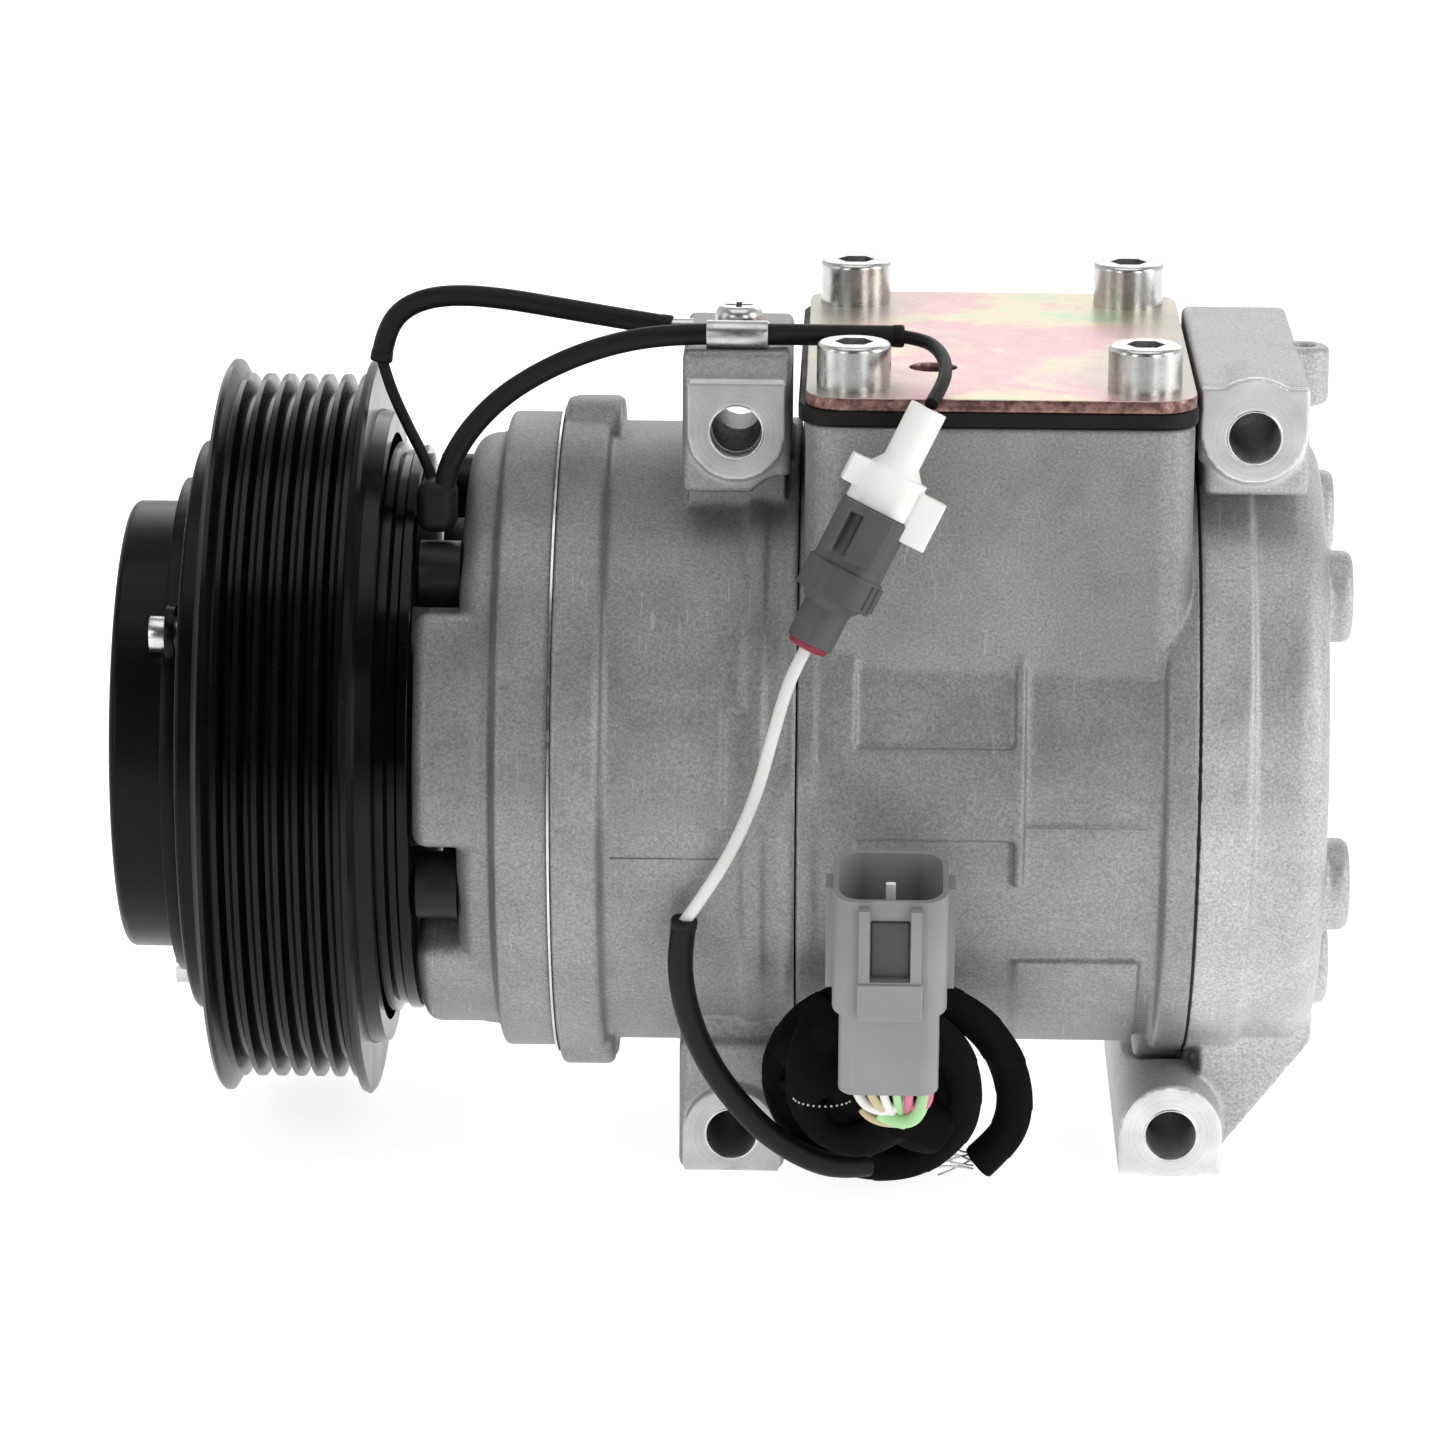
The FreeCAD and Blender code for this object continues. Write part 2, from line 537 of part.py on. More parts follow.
def make_front_cylinder():
    start = "gasket_front + gasket_thick"
    blank = turned("front_cylinder_blank", [
        (start, "8"), (start, "collar_radius"), ("collar_back", "collar_radius"),
        ("collar_back", "body_radius"), ("band_front", "body_radius"),
        ("band_front + 0.8", "body_radius + 0.9"), ("116.4", "body_radius + 0.9"),
        ("117.2", "body_radius + 0.4"), ("119.8", "body_radius + 0.4"), ("120.6", "body_radius + 0.9"),
        ("mid_seam", "body_radius + 0.9"), ("mid_seam", "8")], [([2], 1.6), ([3], 1.2)])
    lumps = []
    for number, (angle, reach) in enumerate(((92, 0.5), (112, 0.8), (-88, 0.8), (-72, 0.2))):
        way = unit(angle)
        lump = rod_x(f"collar_lump{number}", "12", (f"{start} + 0.3", "collar_back + 1.4"),
                     f"(collar_radius - 10 + {reach}) * {way.y:.6f}",
                     f"(collar_radius - 10 + {reach}) * {way.z:.6f}")
        lumps.append(rounded(f"collar_soft{number}", lump, 1.4))
    step = wedge("band_step", "body_radius + 0.9", ("band_front - 2.8", "band_front + 2"), (-3, 18))
    upper = ear("top_ear", "top_ear_x", "top_ear_z", "0", "top_ear_top", "top_ear_bottom",
                ("top_ear_z", "top_face_top"))
    scoop = rod_y("top_ear_scoop", "7.4", "top_ear_x + 8.9", ("-60", "-18"), "top_ear_bottom - 4.1")
    upper[0] = cut("top_ear_scooped", upper[0], [scoop])
    web = block("top_ear_web", ("top_ear_x - 8.6", "top_ear_x + 8.6"), ("-29", "-1"), ("36", "56"))
    lower = ear("foot", "foot_x", "foot_z", "ear_front", "-48", "-axis_height",
                ("-axis_height", "foot_z"))
    web_low = block("foot_web", ("foot_x - 8.6", "foot_x + 8.6"), ("-36", "36"), ("-60", "-30"))
    joined = fuse("front_cylinder_cast", [blank, step, web, web_low] + lumps + upper + lower)
    span = (f"{start} - 1", "mid_seam + 1")
    holes = cylinder_holes("fc", span, (f"{start} - 1", "mid_seam + 1"),
                           ("swash_centre - 40", "swash_centre - 20.8"))
    holes += [ear_hole("top_ear", "top_ear_x", "top_ear_z"), ear_hole("foot", "foot_x", "foot_z"),
              underside("foot", "foot_x"),
              rod_z("clip_thread", "2.2", "top_ear_x", "clip_screw_y",
                    ("top_ear_top - 10", "top_ear_top + 1"))]
    keep("front_cylinder", cut("front_cylinder_cut", joined, holes))


def make_rear_cylinder():
    start = "mid_seam + seam_gap"
    blank = turned("rear_cylinder_blank", [
        (start, "8"), (start, "body_radius + 0.5"), ("125.6", "body_radius + 0.5"),
        ("126.2", "rear_body_radius"), ("rear_collar_front - 3", "rear_body_radius - 0.9"),
        ("rear_collar_front", "rear_body_radius - 0.9"), ("rear_collar_front + 0.6", "rear_ring_radius"),
        ("rear_seam", "rear_ring_radius"), ("rear_seam", "8")], [([6], 1.0)])
    ribs = [wedge("left_rib", "rear_body_radius + 1", ("125", "132.8"), (-62, 36)),
            wedge("cross_rib", "rear_body_radius + 0.95", ("130", "161.2"), (-4.9, 11.8)),
            wedge("upright_rib", "rear_body_radius + 1.1", ("160.9", "162.6"), (-14, 31)),
            wedge("low_pad", "rear_body_radius + 0.6", ("161.4", "183.5"), (-66, -31.5))]
    lumps = []
    for number, angle in enumerate((-76, -92, 110)):
        lump = round_rods(f"rear_lump{number}_", "11", ("rear_collar_front - 2.6", "rear_seam"),
                          "rear_ring_radius - 9.6", [angle])[0]
        lumps.append(rounded(f"rear_lump_soft{number}", lump, 1.2))
    pad = block("port_block", ("pad_left", "pad_right"), ("-pad_side", "pad_side"), ("12", "pad_top"))
    pad = rounded("port_block_soft", pad, size("pad_corner"),
                  lambda edge: abs(edge.tangentAt(edge.FirstParameter).z) > 0.99)
    joined = fuse("rear_cylinder_cast", [blank, pad] + ribs + lumps)
    span = (f"{start} - 1", "rear_seam + 1")
    holes = cylinder_holes("rc", span, (f"{start} - 1", "rear_seam + 1"),
                           ("swash_centre + 20.8", "swash_centre + 40"))
    holes += [rod_z("suction_port", "8", "cover_hole_x", "cover_hole_y", ("40", "pad_top + 1")),
              rod_z("discharge_port", "7", "cover_hole_x + 12", "22", ("54", "pad_top + 1"))]
    for number, (x, side) in enumerate((x, side) for x in ("screw_left", "screw_right") for side in (1, -1)):
        holes.append(rod_z(f"screw_hole{number}", "screw_radius", x, f"{side} * screw_side",
                           ("pad_top - 14", "pad_top + 1")))
    keep("rear_cylinder", cut("rear_cylinder_cut", joined, holes))


def make_rear_housing():
    start = "rear_seam + gasket_thick"
    seat = f"{start} + plate_recess"
    blank = turned("rear_blank", [
        (start, "plate_radius"), (start, "rear_ring_radius"), ("rear_ring_back", "rear_ring_radius"),
        ("rear_ring_back + 0.7", "rear_radius"), ("rear_face", "rear_radius"), ("rear_face", "0"),
        ("rear_face - 4", "0"), ("rear_face - 4", "cavity_outer - 4"), (f"{seat}", "cavity_outer"),
        (f"{seat}", "plate_radius")], [([4], 6.0), ([2], 0.5)])
    bosses = [rounded(f"rear_boss{number}", rod, 1.8)
              for number, rod in enumerate(round_rods("boss_rod", "boss_radius", ("205", "overall_length"),
                                                      "boss_circle", BOLT_ANGLES))]
    partition = turned("rear_partition", [(seat, "22"), (seat, "25"), ("rear_face - 2", "25"),
                                          ("rear_face - 2", "22")])
    upper = block("rear_ear_cast", ("rear_ear_left", "rear_ear_right"), ("-ear_front + 1.2", "37"),
                  ("rear_ear_bottom", "73.2"))
    upper = rounded("rear_ear_soft", upper, size("ear_round"))
    cheek = block("rear_ear_cheek", ("rear_ear_left - 1.1", "rear_ear_left + 4"), ("-ear_front + 1.2", "37"),
                  ("58.8", "73.2"))
    cheek = rounded("rear_cheek_soft", cheek, size("ear_round"))
    face = [rod_y("rear_ear_drum", "rear_face_half", "rear_ear_x", ("-ear_front", "-20"), "top_ear_z + 1.2"),
            block("rear_ear_square", ("rear_ear_x - rear_face_half", "rear_ear_x + rear_face_half"),
                  ("-ear_front", "-20"), ("top_ear_z + 1.2", "73"))]
    lug = rounded("rear_lug_soft", rod_z("rear_lug", "4.9", "rear_ear_right + 0.8", "0",
                                         ("62.6", "73.3")), 1.2)
    arch = [rod_y("rear_foot_drum", "9.3", "rear_foot_x", ("-ear_front", "37"), "rear_foot_z"),
            rounded("rear_foot_soft", block("rear_foot_block", ("rear_foot_x - 9.3", "rear_foot_x + 9.3"),
                                            ("-ear_front", "37"), ("-axis_height", "rear_foot_z")), 0.7)]
    gusset = extruded("gusset", [("196", "-40"), ("196", "-60"), ("190", "-66"), ("199.6", "-71"),
                                 ("216", "-50"), ("216", "-40")], ("-27", "31"))
    relief = rod_x("foot_relief", "rear_ring_radius + 1.8", ("170", start))
    feet = cut("rear_feet", fuse("rear_feet_cast", arch + [gusset]), [relief])
    bowl = rod_x("rear_bowl", "cavity_outer - 4", (f"{seat} - 1", "rear_face - 4"))
    ring_room = cut("rear_room", bowl, [partition])
    lumps = [rounded(f"rear_ring_soft{number}", lump, 1.2)
             for number, lump in enumerate(round_rods("rear_ring_lump", "11", (start, "rear_ring_back + 1"),
                                                      "rear_ring_radius - 9.9", [-76, -92, 110]))]
    joined = fuse("rear_cast", [blank, upper, cheek, lug, feet] + face + bosses + lumps)
    recess = rod_x("rear_recess", "plate_radius", ("rear_seam - 2", seat))
    holes = round_rods("rear_hole", "bolt_radius", ("rear_seam", "bolt_back"), "bolt_circle", BOLT_ANGLES)
    holes += [ear_hole("rear_ear", "rear_ear_x", "top_ear_z"),
              ear_hole("rear_foot", "rear_foot_x", "rear_foot_z"), underside("rear_foot", "rear_foot_x"),
              rod_z("lug_hole", "1.9", "rear_ear_right + 1.2", "0", ("64", "75")), recess, ring_room]
    keep("rear_housing", cut("rear_case", joined, holes))


def make_bolts():
    heads = round_rods("bolt_top", "bolt_head", ("bolt_front", "face_front"), "bolt_circle", BOLT_ANGLES)
    sockets = round_rods("bolt_socket", "3.2", ("bolt_front - 1", "bolt_front + 4"), "bolt_circle",
                         BOLT_ANGLES)
    stems = round_rods("bolt_stem", "bolt_radius", ("face_front", "bolt_back - 1"), "bolt_circle",
                       BOLT_ANGLES)
    bolts = [cut(f"long_bolt{i}", fuse(f"long_blank{i}", [heads[i], stems[i]]), [sockets[i]])
             for i in range(5)]
    keep("through_bolts", group("bolts", bolts))


# ---------------------------------------------------------------- mechanism

def make_shaft():
    hub_front = "swash_centre - 15.6"
    shaft = turned("shaft_turned", [
        ("1.0", "0"), ("1.0", "stud_radius - 0.02"), ("recess_back", "stud_radius - 0.02"),
        ("recess_back", "spline_radius"), ("sleeve_back", "spline_radius"), ("sleeve_back", "shaft_radius"),
        ("100", "shaft_radius"), ("100", "journal_radius"), ("172", "journal_radius"),
        ("172", "shaft_radius"), ("186", "shaft_radius"), ("186", "0")])
    keep("drive_shaft", shaft)
    tilt = math.degrees(math.atan(size("stroke") / 2 / size("bore_circle")))
    disc = primitive("Cylinder", "swash_disc")
    disc.Placement.Rotation = FreeCAD.Rotation(Vec(0, 1, 0), 90 + tilt)
    half = size("swash_thick") / 2
    offset = disc.Placement.Rotation.multVec(Vec(0, 0, -half))
    bind(disc, Radius="swash_radius + 6", Height="swash_thick",
         Placement__Base__x=f"swash_centre + ({offset.x:.6f})", Placement__Base__y=f"{offset.y:.6f}",
         Placement__Base__z=f"{offset.z:.6f}")
    rim = rod_x("swash_rim", "swash_radius", ("swash_centre - 30", "swash_centre + 30"))
    hub = rod_x("swash_boss", "swash_hub", (hub_front, "swash_centre + 15.6"))
    plate = cut("swash", fuse("swash_blank", [common("swash_cut", disc, rim), hub]),
                [rod_x("swash_bore", "journal_radius", ("100", "170"))])
    keep("swash_plate", plate)
    thrust = [turned(f"thrust{i}", [(x0, "journal_radius + 0.3"), (x0, "hub_boss_radius - 2.2"),
                                    (x1, "hub_boss_radius - 2.2"), (x1, "journal_radius + 0.3")])
              for i, (x0, x1) in enumerate((("swash_centre - 20.8", "swash_centre - 15.9"),
                                            ("swash_centre + 15.9", "swash_centre + 20.8")))]
    keep("thrust_bearings", group("thrusts", thrust))
    sleeves = [turned(f"needle{i}", [(x0, "journal_radius + 0.08"), (x0, "journal_radius + 3"),
                                     (x1, "journal_radius + 3"), (x1, "journal_radius + 0.08")])
               for i, (x0, x1) in enumerate((("101", "113"), ("158", "170")))]
    keep("shaft_bearings", group("needles", sleeves))
    seal = turned("seal_body", [("47", "shaft_radius + 0.1"), ("47", "shaft_tunnel"), ("56", "shaft_tunnel"),
                                ("56", "shaft_radius + 2.5"), ("54", "shaft_radius + 0.1")])
    keep("shaft_seal", seal)


def make_pistons():
    """Double-headed pistons, drawn at angle 0 and turned to their bores."""
    low = "swash_centre - piston_length / 2"
    high = "swash_centre + piston_length / 2"
    radius = "bore_radius - piston_clearance"
    for number, angle in enumerate(BORE_ANGLES, start=1):
        blank = rod_x(f"piston_blank{number}", radius, (low, high), "-bore_circle")
        room = rod_x(f"piston_room{number}", "piston_bridge",
                     (f"{low} + head_length", f"{high} - head_length"))
        keep(f"piston_{number}", cut(f"piston_cut{number}", blank, [room]), angle)
        shoes = [rod_x(f"shoe_a{number}", "shoe_radius",
                       (f"{low} + head_length", f"{low} + head_length + shoe_length"), "-bore_circle"),
                 rod_x(f"shoe_b{number}", "shoe_radius",
                       (f"{high} - head_length - shoe_length", f"{high} - head_length"), "-bore_circle")]
        keep(f"shoes_{number}", group(f"shoe_pair{number}", shoes), angle)


# ---------------------------------------------------------------- ports

def rounded_slab(name, x, side, z, corner):
    slab = block(name + "_slab", x, (f"-{side}", side), z)
    return rounded(name + "_corners", slab, corner,
                   lambda edge: abs(edge.tangentAt(edge.FirstParameter).z) > 0.99)


def screw_places():
    return [(x, f"{side} * screw_side") for x in ("screw_left", "screw_right") for side in (1, -1)]


def make_ports():
    seal_top = "pad_top + seal_thick"
    cover_top = "pad_top + seal_thick + cover_thick"
    seal = rounded_slab("port_seal", ("cover_left - 1.2", "cover_right + 0.4"), "pad_side + 0.6",
                        ("pad_top", seal_top), size("pad_corner") + 0.5)
    cover = rounded_slab("cover", ("cover_left", "cover_right"), "pad_side", (seal_top, cover_top),
                         size("pad_corner"))
    clear = [rod_z(f"seal_hole{i}", "screw_radius + 0.4", x, y, ("pad_top - 1", "pad_top + 8"))
             for i, (x, y) in enumerate(screw_places())]
    open_ports = [rod_z("seal_suction", "8", "cover_hole_x", "cover_hole_y", ("pad_top - 1", "pad_top + 8")),
                  rod_z("seal_discharge", "7", "cover_hole_x + 12", "22", ("pad_top - 1", "pad_top + 8"))]
    keep("port_gasket", cut("port_seal_cut", seal, clear + open_ports))
    clear = [rod_z(f"cover_hole{i}", "screw_radius + 0.4", x, y, ("pad_top - 1", "pad_top + 8"))
             for i, (x, y) in enumerate(screw_places())]
    vent = rod_z("cover_vent", "cover_hole", "cover_hole_x", "cover_hole_y", ("pad_top - 1", "pad_top + 8"))
    keep("port_cover_plate", cut("cover_cut", cover, clear + [vent]))
    screws = []
    for i, (x, y) in enumerate(screw_places()):
        head = rounded(f"screw_soft{i}", rod_z(f"screw_top{i}", "screw_head", x, y,
                                               (cover_top, f"{cover_top} + screw_height")), 1.0,
                       lambda edge: edge.BoundBox.ZMin > size("pad_top") + size("screw_height"))
        stem = rod_z(f"screw_stem{i}", "screw_radius", x, y, ("pad_top - 12", cover_top))
        socket = primitive("Prism", f"screw_socket{i}")
        socket.Polygon = 6
        bind(socket, Circumradius="socket_width / 2 * 1.1547", Height="6", Placement__Base__x=x,
             Placement__Base__y=y, Placement__Base__z=f"{cover_top} + screw_height - 4.5")
        screws.append(cut(f"screw{i}", fuse(f"screw_blank{i}", [head, stem]), [socket]))
    keep("port_bolts", group("screws", screws))


def make_clip():
    """A P-clip round the coil lead, its screw, and the earth tag under it."""
    ear_top = "top_ear_top"
    span = ("top_ear_x - clip_width / 2", "top_ear_x + clip_width / 2")
    wide = (span[0] + " - 1", span[1] + " + 1")
    tag_top = f"{ear_top} + tag_thick"
    head_low = f"{tag_top} + clip_band"
    hollow = "coil_sleeve_dia / 2 + clip_gap"
    loop = rod_x("clip_outer", f"{hollow} + clip_band", span, "clip_y", "clip_z")
    leg = block("clip_leg", span, ("clip_y + 1.2", "clip_screw_y + 5"), (tag_top, head_low))
    pinhole = rod_z("clip_hole", "2.3", "top_ear_x", "clip_screw_y", (f"{ear_top} - 1", f"{ear_top} + 4"))
    bore = rod_x("clip_bore", hollow, wide, "clip_y", "clip_z")
    keep("lead_clip", cut("clip", fuse("clip_blank", [loop, leg]), [pinhole, bore]))
    head = rounded("clip_head_soft", rod_z("clip_head", "4.2", "top_ear_x", "clip_screw_y",
                                           (head_low, f"{head_low} + 4")), 1.8,
                   lambda edge: edge.BoundBox.ZMin > size("top_ear_top") + 3)
    stem = rod_z("clip_stem", "2.2", "top_ear_x", "clip_screw_y", (f"{ear_top} - 9", head_low))
    slot = (f"{head_low} + 2", f"{head_low} + 5")
    cross = [block("cross_a", ("top_ear_x - 2.4", "top_ear_x + 2.4"),
                   ("clip_screw_y - 0.5", "clip_screw_y + 0.5"), slot),
             block("cross_b", ("top_ear_x - 0.5", "top_ear_x + 0.5"),
                   ("clip_screw_y - 2.4", "clip_screw_y + 2.4"), slot)]
    keep("clip_screw", cut("clip_screw_cut", fuse("clip_screw_blank", [head, stem]), cross))
    tag = fuse("tag_blank", [rod_z("tag_ring", "4.4", "top_ear_x", "clip_screw_y", (ear_top, tag_top)),
                             block("tag_arm", ("top_ear_x - 11", "top_ear_x - 2"),
                                   ("clip_screw_y - 2", "clip_screw_y + 1"), (ear_top, tag_top)),
                             rod_x("tag_barrel", "1.4", ("top_ear_x - 13.5", "top_ear_x - 8"),
                                   "clip_screw_y - 0.5", f"{ear_top} + 1.4")])
    hole = rod_z("tag_hole", "2.3", "top_ear_x", "clip_screw_y", (f"{ear_top} - 1", f"{ear_top} + 3"))
    keep("ring_terminal", cut("tag", tag, [hole]))


# ---------------------------------------------------------------- wiring

# Each route lists the corners of its straight runs, in the model's frame.
GROUND_WIRE = [(-52.5, -25.4, 119.3), (-53.1, -25.0, 124.0), (-55.0, -22.2, 128.0), (-57.7, -19.0, 132.1),
               (-60.1, -16.4, 136.3), (-62.0, -14.8, 140.5), (-63.1, -14.0, 144.3)]
GROUND_SLEEVE = [(-63.1, -14.0, 144.3), (-62.4, -13.9, 148.5), (-59.8, -14.1, 152.8), (-55.0, -14.8, 155.3),
                 (-48.5, -16.0, 156.2), (-40.4, -17.4, 155.8), (-30.4, -19.0, 154.5), (-20.2, -20.4, 153.1),
                 (-11.6, -21.5, 152.0)]
COIL_SLEEVE = [(-51.1, -28.5, 120.1), (-51.0, -28.5, 124.4), (-49.6, -28.5, 129.2), (-46.0, -28.1, 134.9),
               (-40.7, -28.5, 140.4), (-33.6, -30.0, 145.3), (-25.4, -31.5, 149.3), (-16.6, -33.0, 152.0),
               (-7.7, -34.1, 153.1), (1.5, -34.0, 153.1), (10.5, -31.5, 152.7), (20.0, -28.0, 151.9),
               (29.5, -27.0, 151.7)]
LEAD_CABLE = [(29.5, -27.0, 151.7), (33.6, -29.3, 151.6), (36.4, -34.9, 150.9), (37.6, -42.5, 149.7),
              (37.1, -50.1, 147.9), (34.9, -57.1, 145.8)]
WHITE_WIRE = [(14.4, -64.2, 105.0), (12.0, -64.6, 100.6), (10.0, -64.5, 94.9), (7.9, -64.0, 86.7),
              (5.5, -63.0, 77.4), (1.8, -61.5, 67.9), (-3.0, -59.5, 59.0), (-7.1, -58.0, 52.7)]
LEAD_SLEEVE = [(-7.1, -58.0, 52.7), (-8.0, -57.5, 46.5), (-7.4, -57.0, 39.4), (-5.5, -55.6, 31.9),
               (-2.1, -54.1, 24.3), (2.6, -53.2, 17.6), (8.1, -52.7, 11.7), (15.0, -52.2, 7.3),
               (21.1, -50.2, 5.0), (25.7, -47.6, 4.9)]
LOOM = [(31.1, -62.0, 17.6), (27.1, -58.6, 13.9), (22.1, -55.8, 12.2), (16.9, -54.7, 14.4),
        (13.9, -56.2, 20.4), (14.2, -58.8, 28.3), (18.5, -60.6, 34.4), (25.7, -61.2, 37.5),
        (33.8, -60.8, 36.2), (40.3, -58.6, 30.6), (43.1, -55.0, 22.4), (41.8, -50.9, 13.6),
        (36.7, -47.5, 6.9), (29.5, -46.0, 4.3), (21.4, -46.0, 5.6), (14.2, -46.4, 10.2),
        (10.0, -47.8, 17.5), (9.8, -50.2, 26.0), (14.1, -52.6, 33.5), (21.7, -53.7, 38.3),
        (30.4, -53.4, 39.7), (39.3, -51.0, 36.7), (46.5, -48.0, 30.7), (51.3, -46.0, 22.5),
        (52.0, -44.6, 13.9), (49.4, -44.0, 7.7), (45.5, -44.0, 4.1)]
SIGNAL_WIRES = [
    [(25.0, -70.9, 30.1), (25.4, -70.0, 26.2), (27.9, -67.0, 21.6), (30.9, -63.5, 18.9), (32.0, -61.4, 17.2)],
    [(27.7, -70.9, 30.1), (28.0, -69.8, 25.6), (29.4, -66.4, 21.0), (31.4, -63.3, 18.0), (31.6, -61.2, 16.4)],
    [(30.4, -70.9, 30.1), (30.4, -69.8, 25.6), (31.2, -66.2, 21.2), (31.6, -63.3, 18.5), (30.4, -62.0, 17.6)],
    [(33.0, -70.9, 30.1), (32.7, -69.9, 25.9), (32.6, -66.6, 21.8), (32.1, -63.7, 19.3), (31.0, -62.4, 18.4)],
]


def route_edges(points):
    """Straight runs joined by tangent arcs, each as large as its two runs allow."""
    corners = [Vec(*point) for point in points]
    edges = []
    radii = []
    start = corners[0]
    for before, corner, after in zip(corners, corners[1:], corners[2:]):
        back = (before - corner).normalize()
        ahead = (after - corner).normalize()
        trim = 0.45 * min(before.distanceToPoint(corner), corner.distanceToPoint(after))
        half_turn = (math.pi - back.getAngle(ahead)) / 2
        radius = trim / math.tan(half_turn)
        radii.append(radius)
        first = corner + back * trim
        last = corner + ahead * trim
        inward = (back + ahead).normalize()
        middle = corner + inward * (radius / math.cos(half_turn) - radius)
        edges += [Part.LineSegment(start, first).toShape(), Part.Arc(first, middle, last).toShape()]
        start = last
    edges.append(Part.LineSegment(start, corners[-1]).toShape())
    return edges, radii


def tube_shape(name, points, diameter):
    edges, radii = route_edges(points)
    path = Part.Wire(edges)
    start = Vec(*points[0])
    ring = Part.Wire([Part.makeCircle(diameter / 2, start, Vec(*points[1]) - start)])
    tube = path.makePipeShell([ring], True, True)
    ideal = math.pi * diameter ** 2 / 4 * path.Length
    print(f"{name}: length {path.Length:.1f}, volume/ideal {tube.Volume / ideal:.4f}, radii",
          " ".join(f"{radius:.1f}" for radius in radii))
    return tube


def placed_shape(label, shape):
    """A piece drawn in the model's own frame."""
    feature = DOC.addObject("Part::Feature", label + "_shape")
    feature.Shape = shape
    feature.Placement = FreeCAD.Placement()
    feature.Label = label
    NODES.append(feature)


def make_cords():
    for label, points, diameter in (
            ("ground_wire", GROUND_WIRE, "ground_wire_dia"),
            ("ground_sleeve", GROUND_SLEEVE, "ground_sleeve_dia"),
            ("coil_lead_sleeve", COIL_SLEEVE, "coil_sleeve_dia"),
            ("coil_lead_cable", LEAD_CABLE, "cable_dia"), ("white_wire", WHITE_WIRE, "white_wire_dia"),
            ("lead_sleeve", LEAD_SLEEVE, "lead_sleeve_dia"), ("harness_loom", LOOM, "loom_dia")):
        placed_shape(label, tube_shape(label, points, size(diameter)))
    wires = [tube_shape(f"signal_wire_{i}", points, size("signal_dia"))
             for i, points in enumerate(SIGNAL_WIRES, start=1)]
    placed_shape("signal_wires", Part.makeCompound(wires))


def leaning(foot, axis, front):
    """A frame at foot, with its z along axis and its -y as near as it can be to front."""
    up = Vec(*axis).normalize()
    side = up.cross(Vec(*front) * -1).normalize() * -1
    return FreeCAD.Placement(Vec(*foot), FreeCAD.Rotation(side, up.cross(side), up, "ZXY"))


def soft_box(width, depth, low, high, radius, middle=(0, 0)):
    """A box round the local z axis, between two heights, with rounded upright edges."""
    box = Part.makeBox(width, depth, high - low, Vec(middle[0] - width / 2, middle[1] - depth / 2, low))
    upright = [edge for edge in box.Edges if abs(edge.tangentAt(edge.FirstParameter).z) > 0.99]
    return box.makeFillet(radius, upright)


def stand_at(label, shape, frame):
    """A piece drawn about its own foot, and stood in the model at a leaning frame."""
    feature = DOC.addObject("Part::Feature", label + "_shape")
    feature.Shape = shape
    feature.Placement = frame
    feature.Label = label
    NODES.append(feature)


def make_plugs():
    """The mated pair of small connectors that hang on the coil lead."""
    foot = WHITE_WIRE[0]
    frame = leaning(foot, Vec(*LEAD_CABLE[-1]) - Vec(*foot), (0, -1, 0))
    dark = Part.makeCylinder(4.2, 8)
    dark = dark.fuse([Part.makeCone(4.2, 6, 2, Vec(0, 0, 7)), soft_box(13.8, 12.2, 8.6, 14.4, 5.6),
                      soft_box(12.6, 11.4, 14.2, 25.6, 5)])
    latch = [Part.makeBox(5.2, 3, 9.4, Vec(-2.2, -7.6, 16.2)),
             Part.makeBox(1.5, 2.6, 9.4, Vec(-6.1, -7.2, 16.2)),
             Part.makeBox(9.1, 2.6, 1.6, Vec(-6.1, -7.2, 24))]
    dark = dark.fuse(latch).cut(soft_box(9.6, 7.6, 18.5, 26, 1.6))
    white = Part.makeCylinder(3.35, 11.4, Vec(0, 0, 34))
    white = white.fuse([Part.makeCone(5, 3.4, 2, Vec(0, 0, 33)), soft_box(11.8, 9.8, 25.7, 33.1, 4.4),
                        soft_box(9.2, 7.2, 19, 26, 1.4), Part.makeBox(4.9, 5.4, 9.1, Vec(5.2, -3.6, 22.8)),
                        Part.makeBox(4, 5, 5, Vec(-8.2, -3.2, 28))])
    white = white.cut(Part.makeCylinder(1.3, 12, Vec(0, 0, 45.4 - 10)))
    stand_at("dark_connector", dark, frame)
    stand_at("white_connector", white, frame)


def make_grey_connector():
    frame = leaning((29.0, -72.0, 30.3), (0, -0.2756, 0.9613), (0, -1, 0))
    lower = soft_box(17.4, 15.4, 0, 18, 3)
    upper = soft_box(19.8, 17.0, 16.4, 40, 4.4)
    wings = Part.makeBox(22.2, 4.6, 20.2, Vec(-11.1, -2.3, 18.8))
    rails = Part.makeBox(10.8, 2.2, 22.3, Vec(-5.4, -9.9, 16.7))
    body = lower.fuse([upper, wings, rails])
    socket = soft_box(17.8, 15, 12, 41, 3.6)
    channel = Part.makeBox(7.0, 3.2, 20, Vec(-3.5, -11.2, 24.7))
    body = body.cut([socket, channel])
    pins = [soft_box(1.7, 0.9, 12, top, 0.3, (x, y)) for x, y, top in
            ((0, 0.6, 38.2), (-5, -4, 27), (5, -4, 27), (0, -4, 27))]
    stand_at("grey_connector", body, frame)
    stand_at("connector_pins", Part.makeCompound(pins), frame)


# ---------------------------------------------------------------- assembly

